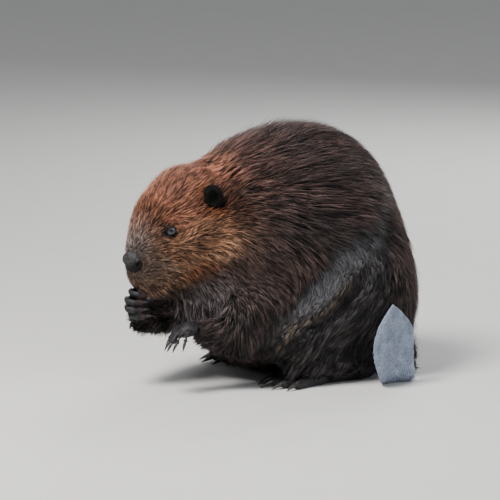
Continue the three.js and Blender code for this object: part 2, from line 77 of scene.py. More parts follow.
# Places. The animal is laid out in millimetres, nose toward -X and left side toward -Y, and moved
# from there into the solids' frame. Places and sizes are in those millimetres, or say otherwise.
def turned(axis, degrees):
    """The matrix that turns by that angle about x, y or z."""
    c, s = math.cos(math.radians(degrees)), math.sin(math.radians(degrees))
    return np.array(
        {
            "x": [[1, 0, 0], [0, c, -s], [0, s, c]],
            "y": [[c, 0, s], [0, 1, 0], [-s, 0, c]],
            "z": [[c, -s, 0], [s, c, 0], [0, 0, 1]],
        }[axis]
    )


HEAD_TURN = turned("z", 18) @ turned("y", -25) @ turned("x", -5)
HEAD_CENTRE = np.array([-168.0, -12.0, 212.0])
EYE_PLACE = (37.5, 33.5, 11.5)
EYE_RADIUS = 8.0
NOSE_PLACE = (87.0, 0.0, -9.0)
NOSE_RADII = (11.0, 14.5, 15.5)


def head_place(forward, aside, up):
    """A point of the head in layout millimetres."""
    return HEAD_TURN @ np.array([-forward, aside, up]) + HEAD_CENTRE


def eye_middle(sign):
    """The middle of one eye in layout millimetres."""
    forward, aside, up = EYE_PLACE
    return head_place(forward, sign * aside, up)


def middle_of(node):
    low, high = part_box(node)
    return np.array((low + high) / 2) / MM


SHIFT = middle_of("eye_left") - eye_middle(SIDES["left"])


def spot(x, y, z):
    """A layout point in metres in the solids' frame."""
    return (np.array([x, y, z], float) + SHIFT) * MM


def in_head(forward, aside, up):
    """A point of the head in metres in the solids' frame."""
    return spot(*head_place(forward, aside, up))


def layout(points):
    """Points in metres back to layout millimetres."""
    return points / MM - SHIFT


def head_reading(points):
    """How far forward, aside and up in the head each point lies, in millimetres."""
    away = (layout(points) - HEAD_CENTRE) @ HEAD_TURN
    return -away[:, 0], away[:, 1], away[:, 2]


def ease(value, low, high):
    """0 up to low and 1 from high on, with soft ends."""
    t = np.clip((value - low) / (high - low), 0, 1)
    return t * t * (3 - 2 * t)


def bell(value, middle, reach):
    """1 at the middle, fading out over the reach on both sides of it."""
    return np.exp(-(((value - middle) / reach) ** 2))


def unit(vectors):
    return vectors / np.maximum(np.linalg.norm(vectors, axis=-1, keepdims=True), 1e-12)


def laid_on(ways, normals):
    """Ways turned down onto the surface that has these normals."""
    return unit(ways - normals * (ways * normals).sum(axis=1, keepdims=True))


def tree_of(points):
    """A tree that finds the nearest of these points."""
    tree = KDTree(len(points))
    for i, p in enumerate(points):
        tree.insert(p, i)
    tree.balance()
    return tree


def wander(points, size, seed):
    """Slow smooth noise from about -1 to 1, with waves about that many millimetres long."""
    rng = np.random.default_rng(seed)
    total = np.zeros(len(points))
    for _ in range(6):
        way = unit(rng.normal(size=3)) * rng.uniform(0.6, 1.6) * ALL_ROUND / (size * MM)
        total += np.sin(points @ way + rng.uniform(0, ALL_ROUND))
    return total / 3


# Surfaces as arrays.
WELD_MM = 0.02
CUT_SWELL_MM = 0.45
SMOOTH_IN, SMOOTH_OUT = 0.6, -0.61

# How each part is remeshed: the size of its faces in millimetres, and the rounds of smoothing.
FINENESS = {
    "body": (3.0, 4),
    "nose": (0.8, 6),
    "ear": (1.0, 4),
    "forepaw": (0.9, 6),
    "hindfoot": (1.5, 6),
    "tail_blade": (1.6, 12),
}


class Surface:
    """Points in metres and the four corners of each face."""

    def __init__(self, points, faces):
        self.points = points
        self.faces = faces
        pairs = np.concatenate([faces[:, [i, (i + 1) % 4]] for i in range(4)])
        pairs = np.unique(np.sort(pairs, axis=1), axis=0)
        self.links = pairs[pairs[:, 0] != pairs[:, 1]]
        self.degree = np.bincount(self.links.ravel(), minlength=len(points)).astype(float)

    def normals(self):
        p = self.points[self.faces]
        across = np.cross(p[:, 2] - p[:, 0], p[:, 3] - p[:, 1])
        total = np.stack(
            [
                np.bincount(self.faces.ravel(), np.repeat(across[:, k], 4), len(self.points))
                for k in range(3)
            ],
            axis=1,
        )
        return unit(total)

    def spread(self, values, rounds, share=0.5):
        """Values averaged with their neighbours, round after round."""
        flat = values.reshape(len(values), -1).astype(float)
        a, b = self.links.T
        degree = np.maximum(self.degree, 1)
        for _ in range(rounds):
            for k in range(flat.shape[1]):
                column = flat[:, k]
                total = np.bincount(a, column[b], len(column)) + np.bincount(b, column[a], len(column))
                flat[:, k] = column + share * (total / degree - column)
        return flat.reshape(values.shape)

    def smoothed(self, rounds):
        return Surface(self.spread(self.points, rounds), self.faces)

    def eased(self, rounds):
        """Smoothed without shrinking: every round in is followed by one out."""
        points = self.points
        for _ in range(rounds):
            points = self.spread(self.spread(points, 1, SMOOTH_IN), 1, SMOOTH_OUT)
        return Surface(points, self.faces)

    def largest(self):
        """The surface without loose inner pieces."""
        count = len(self.points)
        order = np.concatenate([self.links, self.links[:, ::-1]])
        order = order[np.argsort(order[:, 0], kind="stable")]
        first = np.searchsorted(order[:, 0], np.arange(count + 1))
        near = order[:, 1]
        label = np.full(count, -1)
        sizes = []
        for seed in range(count):
            if label[seed] >= 0:
                continue
            label[seed] = len(sizes)
            front, size = [seed], 1
            while front:
                fresh = np.unique(np.concatenate([near[first[v] : first[v + 1]] for v in front]))
                fresh = fresh[label[fresh] < 0]
                label[fresh] = len(sizes)
                size += len(fresh)
                front = fresh.tolist()
            sizes.append(size)
        keep = label == int(np.argmax(sizes))
        new_index = np.cumsum(keep) - 1
        kept_faces = keep[self.faces].all(axis=1)
        return Surface(self.points[keep], new_index[self.faces[kept_faces]])


def welded(names):
    """The named solids as one mesh, each swollen a little so that the cuts between them close."""
    whole = bmesh.new()
    for name in names:
        whole_before = len(whole.verts)
        whole.from_mesh(NODES[name].data)
        whole.verts.ensure_lookup_table()
        bmesh.ops.remove_doubles(whole, verts=whole.verts[whole_before:], dist=WELD_MM * MM)
    whole.normal_update()
    for v in whole.verts:
        v.co += v.normal * (CUT_SWELL_MM * MM)
    mesh = bpy.data.meshes.new("welded")
    whole.to_mesh(mesh)
    whole.free()
    return mesh


def remeshed(part, names):
    """One closed surface round the named solids, as fine as the part calls for."""
    voxel, rounds = FINENESS[part]
    body = bpy.data.objects.new("remesh", welded(names))
    bpy.context.scene.collection.objects.link(body)
    wrap = body.modifiers.new("voxels", "REMESH")
    wrap.mode = "VOXEL"
    wrap.voxel_size = voxel * MM
    shown = bpy.context.evaluated_depsgraph_get()
    mesh = bpy.data.meshes.new_from_object(body.evaluated_get(shown))
    points = np.zeros(len(mesh.vertices) * 3)
    mesh.vertices.foreach_get("co", points)
    corners = np.zeros(len(mesh.loops), np.int64)
    mesh.loops.foreach_get("vertex_index", corners)
    bpy.data.objects.remove(body)
    return Surface(points.reshape(-1, 3), corners.reshape(-1, 4)).largest().smoothed(rounds)


def mesh_object(name, points, parts, values=None):
    """A new object from points and lists of faces that each have one number of corners."""
    mesh = bpy.data.meshes.new(name)
    corners = np.concatenate([part.ravel() for part in parts])
    sizes = np.concatenate([np.full(len(part), part.shape[1]) for part in parts])
    starts = np.concatenate([[0], np.cumsum(sizes)[:-1]])
    mesh.vertices.add(len(points))
    mesh.vertices.foreach_set("co", np.asarray(points, np.float32).ravel())
    mesh.loops.add(len(corners))
    mesh.loops.foreach_set("vertex_index", corners.astype(np.int32))
    mesh.polygons.add(len(sizes))
    mesh.polygons.foreach_set("loop_start", starts.astype(np.int32))
    mesh.polygons.foreach_set("use_smooth", np.full(len(sizes), True))
    mesh.update(calc_edges=True)
    for key, numbers in (values or {}).items():
        layer = mesh.attributes.new(key, "FLOAT", "POINT")
        layer.data.foreach_set("value", np.asarray(numbers, np.float32))
    made = bpy.data.objects.new(name, mesh)
    bpy.context.scene.collection.objects.link(made)
    return made


def paint(made, *materials):
    for material in materials:
        made.data.materials.append(material)


# Shader recipes.
class Value:
    """A node's output that adds, multiplies and compares as a number does."""

    def __init__(self, recipe, socket):
        self.recipe = recipe
        self.socket = socket

    def maths(self, operation, *rest):
        sockets = dict(enumerate((self, *rest)))
        return self.recipe.node("ShaderNodeMath", {"operation": operation}, sockets)

    def __add__(self, other):
        return self.maths("ADD", other)

    def __sub__(self, other):
        return self.maths("SUBTRACT", other)

    def __rsub__(self, other):
        sockets = {0: other, 1: self}
        return self.recipe.node("ShaderNodeMath", {"operation": "SUBTRACT"}, sockets)

    def __mul__(self, other):
        return self.maths("MULTIPLY", other)

    def __truediv__(self, other):
        return self.maths("DIVIDE", other)

    def __pow__(self, other):
        return self.maths("POWER", other)

    __radd__ = __add__
    __rmul__ = __mul__

    def size(self):
        return self.maths("ABSOLUTE")

    def between(self, low, high):
        """0 at low and 1 at high, with soft ends; low may be the greater of the two."""
        settings = {"interpolation_type": "SMOOTHSTEP"}
        sockets = {"Value": self, "From Min": low, "From Max": high}
        return self.recipe.node("ShaderNodeMapRange", settings, sockets)


class Recipe:
    """One material, made node by node."""

    def __init__(self, name):
        self.material = bpy.data.materials.new(name)
        self.material.use_nodes = True
        self.tree = self.material.node_tree
        self.tree.nodes.clear()

    def node(self, kind, settings=None, sockets=None, out=0):
        made = self.tree.nodes.new(kind)
        for key, value in (settings or {}).items():
            setattr(made, key, value)
        for key, value in (sockets or {}).items():
            socket = made.inputs[key]
            if isinstance(value, Value):
                self.tree.links.new(value.socket, socket)
            elif isinstance(value, tuple) and len(value) == 3 and socket.type == "RGBA":
                socket.default_value = (*value, 1)
            else:
                socket.default_value = value
        return Value(self, made.outputs[out]) if len(made.outputs) else made

    def attribute(self, name):
        return self.node("ShaderNodeAttribute", {"attribute_name": name}, out="Fac")

    def place(self):
        """Where a spot is in layout millimetres."""
        coordinates = self.node("ShaderNodeTexCoord", out="Object")
        scaled = self.vector("SCALE", coordinates, scale=1 / MM)
        return self.vector("SUBTRACT", scaled, tuple(SHIFT))

    def vector(self, operation, a, b=None, scale=None):
        sockets = {0: a}
        if b is not None:
            sockets[1] = b
        if scale is not None:
            sockets["Scale"] = scale
        out = "Value" if operation in ("LENGTH", "DOT_PRODUCT") else "Vector"
        return self.node("ShaderNodeVectorMath", {"operation": operation}, sockets, out)

    def mix(self, share, a, b):
        """A colour, and that share of another over it."""
        return self.node("ShaderNodeMix", {"data_type": "RGBA"}, {0: share, 6: a, 7: b}, out=2)

    def dim(self, colour, share):
        return self.vector("SCALE", colour, scale=share)

    def noise(self, place, size, detail=2.0, rough=0.5):
        """Noise whose lumps are about that many millimetres across."""
        sockets = {"Vector": place, "Scale": 1 / size, "Detail": detail, "Roughness": rough}
        return self.node("ShaderNodeTexNoise", None, sockets, out="Fac")

    def cells(self, place, size, feature):
        """How far a spot is from the middle or the edge of its cell."""
        sockets = {"Vector": place, "Scale": 1 / size}
        return self.node("ShaderNodeTexVoronoi", {"feature": feature}, sockets, out="Distance")

    def toned(self, grain, part, soft=0.2):
        """From the darker to the lighter tone of a part where the grain passes a half."""
        return self.mix(grain.between(0.5 - soft, 0.5 + soft), *TONES[part])

    def stretched(self, place, *factors):
        """A place scaled along each axis, for grain that runs one way."""
        return self.vector("MULTIPLY", place, factors)

    def along(self, place, axis):
        return self.vector("DOT_PRODUCT", place, tuple(map(float, axis)))

    def near(self, place, centre, radii, soft=0.45):
        """1 inside an ellipsoid round a layout point, fading out round its edge."""
        away = self.vector("SUBTRACT", place, tuple(map(float, centre)))
        shrunk = self.vector("DIVIDE", away, tuple(map(float, radii)))
        return 1 - self.vector("LENGTH", shrunk).between(1 - soft, 1 + soft)

    def head_axes(self, place):
        """Forward, aside and up in the head, in millimetres."""
        away = self.vector("SUBTRACT", place, tuple(HEAD_CENTRE))
        axes = (-HEAD_TURN[:, 0], HEAD_TURN[:, 1], HEAD_TURN[:, 2])
        return [self.along(away, axis) for axis in axes]

    def bumped(self, height, depth):
        """A normal whose relief is that many millimetres deep."""
        return self.node("ShaderNodeBump", None, {"Distance": depth * MM, "Height": height})

    def finish(self, colour, roughness, normal=None, **fixed):
        sockets = {"Base Color": colour, "Roughness": roughness}
        if normal is not None:
            sockets["Normal"] = normal
        sockets.update({key.replace("_", " "): value for key, value in fixed.items()})
        shader = self.node("ShaderNodeBsdfPrincipled", None, sockets)
        self.node("ShaderNodeOutputMaterial", None, {"Surface": shader})
        return self.material


# The coat's markings, shared by the skin and the tufts. Each colour is the one at the middle
# of a hair.
HAIR = {
    "back_dark": (0.046, 0.029, 0.0265),
    "back_light": (0.075, 0.0445, 0.0385),
    "low": (0.026, 0.020, 0.020),
    "flank": (0.024, 0.022, 0.023),
    "shoulder": (0.070, 0.048, 0.042),
    # Lightened as painted light where the head shades the chest.
    "chest_painted_light": (0.268, 0.226, 0.230),
    "nape": (0.098, 0.045, 0.035),
    "mane": (0.073, 0.038, 0.029),
    "below_ear": (0.054, 0.013, 0.004),
    "cheek": (0.232, 0.114, 0.063),
    "crown": (0.296, 0.119, 0.071),
    "brow": (0.142, 0.052, 0.021),
    "round_ear": (0.165, 0.048, 0.011),
    "behind_ear": (0.040, 0.013, 0.006),
    "bridge": (0.310, 0.177, 0.135),
    "bridge_end": (0.215, 0.172, 0.157),
    "muzzle_side": (0.205, 0.122, 0.082),
    "lip": (0.130, 0.086, 0.066),
    # Golden chin hair, lightened further as painted light on the underside.
    "chin": (0.410, 0.234, 0.142),
    "jowl": (0.215, 0.078, 0.033),
    "throat": (0.040, 0.030, 0.028),
    "lids": (0.016, 0.010, 0.007),
    "wet": (0.039, 0.034, 0.035),
    "wet_band": (0.080, 0.078, 0.086),
    # A tan painted highlight for the crest of the haunch's fold.
    "fold": (0.120, 0.088, 0.062),
    # The tip colours: partly the hair's own pale tips, partly painted sheen, cooler on wet hair.
    "dry_tip_and_sheen": (0.170, 0.118, 0.094),
    "wet_tip_and_sheen": (0.125, 0.120, 0.132),
}

# Rounded patches on the body: the middle, the reach along x, y and z, how soft the edge is
# and how much of the colour below it covers.
BODY_PATCHES = {
    "shoulder": ((-60, -70, 175), (70, 60, 55), 0.6, 0.6),
    # The chest patch is painted light, lifting the shade that the head casts.
    "chest_painted_light": ((-118, -10, 112), (52, 60, 50), 0.5, 0.85),
    "nape": ((-88, -10, 262), (72, 88, 62), 0.5, 0.85),
    "mane": ((-100, -45, 205), (52, 66, 60), 0.5, 0.85),
}

# The darker and the lighter tone of what is bare.
TONES = {
    "ear_fuzz": ((0.004, 0.004, 0.004), (0.024, 0.020, 0.019)),
    "nose": ((0.026, 0.024, 0.025), (0.062, 0.057, 0.057)),
    "ear": ((0.006, 0.005, 0.005), (0.014, 0.011, 0.010)),
    "paw": ((0.008, 0.007, 0.009), (0.026, 0.023, 0.027)),
    "tail": ((0.190, 0.225, 0.298), (0.315, 0.375, 0.488)),
    "claw": ((0.014, 0.012, 0.011), (0.042, 0.036, 0.033)),
    "lid": ((0.006, 0.005, 0.005), (0.016, 0.011, 0.009)),
    "whisker": ((0.030, 0.022, 0.018), (0.240, 0.200, 0.160)),
    "iris": ((0.028, 0.031, 0.041), (0.070, 0.077, 0.097)),
}
# Painted shade for the nose pad's underside and its nostrils.
NOSE_UNDER_SHADE = (0.007, 0.006, 0.006)
NOSTRIL_SHADE = (0.004, 0.004, 0.004)
FINGERTIPS = (0.120, 0.050, 0.048)
# Painted shadow of the upper lid over the iris.
IRIS_LID_SHADOW = (0.014, 0.015, 0.019)
PUPIL = (0.003, 0.003, 0.004)
EYE_RIM = (0.008, 0.006, 0.006)


def diamond(low, high, *spans):
    """1 in the middle and 0 outside of a diamond whose spans are a reading, its middle and its reach."""
    total = sum((reading - middle).size() / reach for reading, middle, reach in spans)
    return 1 - total.between(low, high)


def ear_shade(r, place):
    """1 in the deep red hair behind and below each ear."""
    forward, aside, up = r.head_axes(place)
    return diamond(0.5, 1.6, (forward, -44, 26), (aside.size(), 60, 44), (up, -4, 28))


def body_colour(r, place):
    """The hair of the trunk, the neck and the legs."""
    x, z = r.along(place, (1, 0, 0)), r.along(place, (0, 0, 1))
    patch = r.noise(place, 38, 3)
    colour = r.mix(patch.between(0.35, 0.68), HAIR["back_dark"], HAIR["back_light"])
    low = 1 - z.between(70, 175)
    colour = r.mix(low * 0.7, colour, HAIR["low"])
    flank = diamond(0.5, 1.4, (x, -8, 76), (z, 203, 34))
    colour = r.mix(flank * 0.6, colour, HAIR["flank"])
    for name, (middle, reach, soft, cover) in BODY_PATCHES.items():
        colour = r.mix(r.near(place, middle, reach, soft) * cover, colour, HAIR[name])
    return r.mix(ear_shade(r, place) * 0.85, colour, HAIR["below_ear"])


def muzzle_colour(r, forward, aside, up):
    """The hair of the muzzle: light along the bridge, darker at its sides and over the lip."""
    bridge = r.mix(forward.between(52, 78), HAIR["bridge"], HAIR["bridge_end"])
    bridge = r.mix(aside.between(16, 30), bridge, HAIR["muzzle_side"])
    return r.mix(up.between(-14, 8), HAIR["lip"], bridge)


def face_colour(r, place):
    """The hair of the head, each patch laid over the ones before it."""
    forward, aside, up = r.head_axes(place)
    aside = aside.size()
    face = r.mix(up.between(-4, 30), HAIR["cheek"], HAIR["crown"])
    brow = r.near(place, head_place(40, 0, 34), (34, 46, 30), 0.5)
    face = r.mix(brow * 0.75, face, HAIR["brow"])
    round_ear = diamond(0.5, 1.5, (forward, -26, 30), (aside, 50, 36), (up, 12, 34))
    face = r.mix(round_ear * 0.85, face, HAIR["round_ear"])
    behind_ear = (1 - forward.between(-46, -16)) * (1 - up.between(16, 46))
    face = r.mix(behind_ear * 0.92, face, HAIR["behind_ear"])
    on_muzzle = (forward + up.between(-6, 20) * 14).between(50, 80)
    face = r.mix(on_muzzle * 0.9, face, muzzle_colour(r, forward, aside, up))
    # The chin's golden hair, lightened further as painted light.
    chin = 1 - up.between(-52, -22)
    face = r.mix(chin * 0.85, face, HAIR["chin"])
    jowl = diamond(0.4, 1.4, (forward, 26, 32), (up, -60, 22))
    face = r.mix(jowl * 0.85, face, HAIR["jowl"])
    throat = 1 - up.between(-78, -52)
    return r.mix(throat * 0.9, face, HAIR["throat"])


def on_head(r, place):
    """1 on the head, fading out behind the ears and down toward the forepaws."""
    forward, _, up = r.head_axes(place)
    x, z = r.along(place, (1, 0, 0)), r.along(place, (0, 0, 1))
    ahead = (forward + up * 0.65).between(-78, -30)
    return ahead * (z.between(96, 132) * (z - x).between(272, 308))


def markings(r, place):
    """The coat's colour at a place, as it is at the middle of a hair."""
    colour = r.mix(on_head(r, place), body_colour(r, place), face_colour(r, place))
    for sign in SIDES.values():
        _, out, ahead, _ = eye_frame(sign)
        lids = eye_middle(sign) + out * 6 + ahead * 2.5
        colour = r.mix(r.near(place, lids, (9, 9, 9), 0.3) * 0.9, colour, HAIR["lids"])
    streaks = r.noise(r.stretched(place, 0.35, 1.0, 1.0), 9, 3, 0.6)
    return r.dim(colour, streaks.between(0.2, 0.8) * 0.7 + 0.65)


def wet_look(r, colour):
    """Wet hair on the haunch: near black, grey where it lies smooth, a tan painted highlight on the fold's
    crest and painted shade in the hollow behind it.
    """
    wet, band, fold = r.attribute("wet"), r.attribute("band"), r.attribute("fold")
    colour = r.mix(wet * 0.85, colour, HAIR["wet"])
    colour = r.mix(band * 0.9, colour, HAIR["wet_band"])
    # Painted highlight on the fold's crest, and painted shade in the hollow behind it.
    colour = r.mix(fold.between(0, 1) * 0.6, colour, HAIR["fold"])
    return r.dim(colour, 1 - fold.between(0, -1) * 0.8)


def coat_material():
    """The tufts: painted shade toward the root, each in its own tone, some with a pale tip that is partly
    painted sheen.
    """
    r = Recipe("beaver_coat")
    place = r.place()
    reach, tone, wet = r.attribute("reach"), r.attribute("tone"), r.attribute("wet")
    colour = wet_look(r, markings(r, place))
    # Painted shade: each tuft darkens toward its root, deep in the coat.
    root_shade = reach.between(-0.1, 0.75) * 0.92 + 0.05
    colour = r.dim(colour, root_shade * (tone ** 2.3 * 3.4 + 0.07))
    # Pale tips, partly the hair's own and partly painted sheen.
    pale = reach.between(0.5, 1.0) * tone.between(0.5, 0.95) * (1 - wet * 0.35)
    pale = pale * (1 - ear_shade(r, place) * 0.85)
    tip = r.mix(0.5, r.dim(colour, 2.6), r.mix(wet, HAIR["dry_tip_and_sheen"], HAIR["wet_tip_and_sheen"]))
    colour = r.mix(pale * 0.5, colour, tip)
    roughness = 0.46 - wet * 0.15 + r.attribute("band") * 0.25
    return r.finish(colour, roughness, Specular_IOR_Level=0.38)


def hide_material():
    """The skin under the coat, darkened as painted shade where the hair over it is long, with the lie of
    short hair in its bump.
    """
    r = Recipe("beaver_hide")
    place = r.place()
    # Painted shade: the skin is darker where the hair over it is long.
    colour = r.dim(wet_look(r, markings(r, place)), r.attribute("short") * 0.5 + 0.14)
    hair = r.noise(r.stretched(place, 0.22, 1.0, 0.7), 1.6, 3, 0.6)
    colour = r.dim(colour, hair * 0.8 + 0.6)
    return r.finish(colour, 0.7, r.bumped(hair, 0.8), Specular_IOR_Level=0.25)


def fuzz_material():
    """The short dark hair on the ears."""
    r = Recipe("ear_fuzz")
    reach, tone = r.attribute("reach"), r.attribute("tone")
    colour = r.mix(reach.between(0.3, 1.0) * tone, *TONES["ear_fuzz"])
    return r.finish(colour, 0.8, Specular_IOR_Level=0.15)


def nose_material():
    """Pebbled leather, with painted shade making it nearly black below, in the nostrils and between the
    pebbles.
    """
    r = Recipe("nose_leather")
    place = r.place()
    pebbles = r.cells(place, 1.5, "SMOOTH_F1")
    grain = r.noise(place, 3.5, 3)
    _, _, up = r.head_axes(place)
    # Painted shade on the underside of the pad.
    colour = r.mix(up.between(0, -13), r.toned(grain, "nose"), NOSE_UNDER_SHADE)
    for sign in SIDES.values():
        # Painted shade in each nostril's hollow.
        nostril = r.near(place, head_place(90, sign * 13, -8.5), (5.4, 5.5, 4.2), 0.4)
        colour = r.mix(nostril * 0.9, colour, NOSTRIL_SHADE)
    # Painted shade: darker between the pebbles, in the dips of their bump.
    colour = r.dim(colour, pebbles.between(0.9, 0.1) * 0.5 + 0.6)
    return r.finish(colour, grain * 0.2 + 0.6, r.bumped(pebbles, 0.35), Specular_IOR_Level=0.13)


def ear_material():
    """The dark skin under the hair of the ears."""
    r = Recipe("ear_leather")
    place = r.place()
    down = r.noise(place, 1.2, 3, 0.65)
    colour = r.dim(r.toned(r.noise(place, 7, 2), "ear"), down + 0.5)
    return r.finish(colour, 0.8, r.bumped(down, 0.5), Specular_IOR_Level=0.15)


def paw_material():
    """Creased black leather with painted shade in the creases, pinkish at the fingertips of the left
    forepaw.
    """
    r = Recipe("paw_leather")
    place = r.place()
    creases = r.cells(r.stretched(place, 1.0, 1.0, 1.6), 1.5, "DISTANCE_TO_EDGE")
    grain = r.noise(place, 6, 3)
    tips = r.near(place, (-225, -38, 114), (9, 8, 20), 0.4) * grain.between(0.3, 0.5)
    colour = r.mix(tips * 0.85, r.toned(grain, "paw"), FINGERTIPS)
    fist = r.near(place, (-232, -24, 108), (34, 30, 36), 0.2)
    # Painted shade darkens the creases.
    colour = r.dim(colour, (creases.between(0.0, 0.12) * 0.35 + 0.65) * (1 - fist * 0.4))
    relief = creases.between(0.0, 0.2) * 0.4 + grain * 0.6
    return r.finish(colour, grain * 0.25 + 0.3, r.bumped(relief, 0.35), Specular_IOR_Level=0.3)


def tail_material():
    """Blue-grey scales, their rims darkened as painted shade."""
    r = Recipe("tail_leather")
    place = r.place()
    grain = r.noise(place, 15, 5, 0.65)
    fine = r.noise(place, 1.6, 3, 0.6)
    rims = r.cells(place, 3.1, "DISTANCE_TO_EDGE")
    # Painted shade along the rims between the scales.
    colour = r.dim(r.toned(grain, "tail", 0.18), rims.between(0.0, 0.16) * 0.42 + 0.62)
    return r.finish(r.dim(colour, fine * 0.5 + 0.75), fine * 0.2 + 0.48, r.bumped(fine, 0.35))


def claw_material():
    r = Recipe("claw_horn")
    grain = r.noise(r.stretched(r.place(), 0.3, 1.0, 1.0), 1.4, 3)
    colour = r.toned(grain, "claw")
    return r.finish(colour, grain * 0.2 + 0.22, r.bumped(grain, 0.15), Specular_IOR_Level=0.5)


def lid_material():
    r = Recipe("lid_skin")
    grain = r.noise(r.place(), 1.5, 3)
    return r.finish(r.toned(grain, "lid"), 0.6, r.bumped(grain, 0.3), Specular_IOR_Level=0.15)


def whisker_material():
    """Dark at the root and pale from there out."""
    r = Recipe("whisker_horn")
    reach = r.attribute("reach")
    return r.finish(r.mix(reach.between(0.1, 0.8), *TONES["whisker"]), 0.4)


def eye_material(side):
    """A dark pupil in a blue-grey iris, read from how far a spot is off the eye's axis, with the upper
    lid's shadow painted over the iris's top.
    """
    r = Recipe(f"eye_{side}")
    sign = SIDES[side]
    away = r.vector("SUBTRACT", r.place(), tuple(map(float, eye_middle(sign))))
    _, *ways = eye_frame(sign)
    facing, long_way, high_way = (r.along(away, way) / EYE_RADIUS for way in ways)
    flecks = r.noise(away, 1.1, 3)
    # Painted shadow of the upper lid over the top of the iris.
    lid_shadow = (high_way + long_way * 0.5).between(0.05, 0.5)
    iris = r.mix(lid_shadow * 0.85, r.toned(flecks, "iris"), IRIS_LID_SHADOW)
    off_pupil = (long_way / 0.38) ** 2 + ((high_way - 0.01) / 0.25) ** 2 + flecks * 0.3
    colour = r.mix(1 - off_pupil.between(0.8, 1.6), iris, PUPIL)
    colour = r.mix(1 - facing.between(0.74, 0.82), colour, EYE_RIM)
    return r.finish(colour, 0.16, Specular_IOR_Level=0.4, Coat_Weight=0.1)


# What the skin and the coat are made over.
FURRED = ["head", "lower_jaw", "neck", "trunk", "tail_root"] + [
    f"{part}_{side}"
    for part in ("thigh", "foreleg_upper", "foreleg_lower", "shin")
    for side in SIDES
]
BARE = ["nose", "tail_blade"] + [
    f"{part}_{side}" for part in ("ear", "forepaw", "hindfoot") for side in SIDES
]
FLESH = FURRED + BARE
STANDING_CLEAR = ("ear", "forepaw", "tail_blade")

# How many rounds each thing on the furred body is evened out.
ROUNDS = {
    "shape": 45,
    "armpits": 70,
    "lie": 22,
    "body_lie": 45,
    "head": 12,
    "depth": 10,
    "crowd": 3,
    "bald_edge": 2,
    "hide": 3,
}

# For each part of the body: the coat's depth, the tufts' length and width in millimetres,
# how many grow on a square centimetre, how far apart clumps stand and how hard they pull together.
COAT = {
    "head": (6.0, 14.0, 0.66, 80, 2.9, 0.72),
    "lower_jaw": (5.0, 15.0, 0.75, 66, 3.4, 0.72),
    "neck": (10.0, 28.0, 1.0, 36, 4.8, 0.78),
    "trunk": (12.0, 34.0, 1.1, 26, 5.2, 0.78),
    "tail_root": (8.0, 22.0, 1.4, 24, 7.0, 0.75),
    "thigh": (9.0, 17.0, 1.15, 36, 8.0, 0.6),
    "foreleg_upper": (9.0, 26.0, 1.1, 30, 5.4, 0.78),
    "foreleg_lower": (5.0, 17.0, 1.0, 38, 4.8, 0.75),
    "shin": (8.0, 16.0, 1.2, 34, 8.0, 0.65),
    "nose": (1.5, 3.0, 0.7, 0, 4.0, 0.0),
    "eye": (5.5, 7.0, 0.7, 60, 3.5, 0.5),
    "hindfoot": (2.0, 5.0, 1.0, 0, 6.0, 0.0),
}
DEPTH, LENGTH, WIDTH, CROWD, SPACING, PULL, WET, BAND, FOLD_HIGHLIGHT_AND_SHADE = range(9)
COLUMNS = 9

# Two lines down each flank, as x and z: where the long hair of the side ends over the wet
# haunch, and the fold below the smooth wet hair.
FLANK_EDGE = [
    (70, 218), (55, 205), (27, 195), (0, 181), (-20, 149),
    (-38, 120), (-57, 101), (-80, 73), (-93, 50), (-104, 20),
]
FOLD_LINE = [(44, 166), (20, 140), (-6, 108), (-43, 92), (-77, 55), (-84, 25)]


def beside(p, line):
    """How far layout points lie behind a line down the flank, less than nothing ahead of it."""
    best = np.full(len(p), np.inf)
    signed = np.zeros(len(p))
    spots = p[:, [0, 2]]
    for a, b in zip(np.array(line[:-1], float), np.array(line[1:], float)):
        way = b - a
        t = np.clip(((spots - a) @ way) / (way @ way), 0, 1)
        gap = spots - (a + t[:, None] * way)
        far = np.linalg.norm(gap, axis=1)
        side = np.sign(gap[:, 0] * -way[1] + gap[:, 1] * way[0])
        signed = np.where(far < best, far * side, signed)
        best = np.minimum(best, far)
    return signed


def part_of(node):
    """A node's name without its side."""
    return node.rsplit("_", 1)[0] if node.rsplit("_", 1)[-1] in SIDES else node


def nearest_nodes(points, names):
    """For each point, the index of the named solid that lies nearest."""
    corners, polygons, owners = [], [], []
    for i, name in enumerate(names):
        mesh = NODES[name].data
        base = len(corners)
        corners += [v.co for v in mesh.vertices]
        for polygon in mesh.polygons:
            polygons.append([base + v for v in polygon.vertices])
            owners.append(i)
    tree = BVHTree.FromPolygons(corners, polygons)
    owners = np.array(owners)
    return owners[[tree.find_nearest(Vector(p))[2] for p in points]]


# The lie of the coat, in layout axes, before it is laid on the skin.
def led(lie, share, way):
    """A lie led toward another way by a share."""
    share = share[:, None]
    return unit(lie * (1 - share) + share * np.array(way))


def trunk_lie(p):
    """Back along the spine, steeper down the side and the rump, back again below the belly."""
    down = ease(-p[:, 2], -265, -95)
    angle = np.radians(8 + 58 * down)
    lie = np.stack([np.cos(angle), 0 * angle, -np.sin(angle)], axis=1)
    shoulder = (ease(-p[:, 0], -10, 60) * down)[:, None]
    lie = unit(lie + shoulder * np.array([-0.35, 0, -0.45]))
    lie = led(lie, ease(p[:, 0], 95, 150), (0.15, 0, -1.0))
    return led(lie, ease(-p[:, 2], -45, -15), (1.0, 0, 0))


def head_lie(points):
    """Back from the nose, falling toward the throat on the cheek."""
    forward, _, up = head_reading(points)
    fall = 0.12 + 0.25 * ease(-up, -14, 6) + 1.3 * ease(-up, 6, 60) * ease(-forward, -86, -30)
    flow = np.stack([1 + 0 * fall, 0 * fall, -fall], axis=1)
    return unit(flow) @ HEAD_TURN.T


def haunch_lie(p):
    """Down the thigh, then forward and down the shin."""
    low = ease(-p[:, 2] + p[:, 0] * 0.3, -165, -105)
    return led(np.array([0.12, 0, -1.0]), low, (-0.66, 0, -0.72))


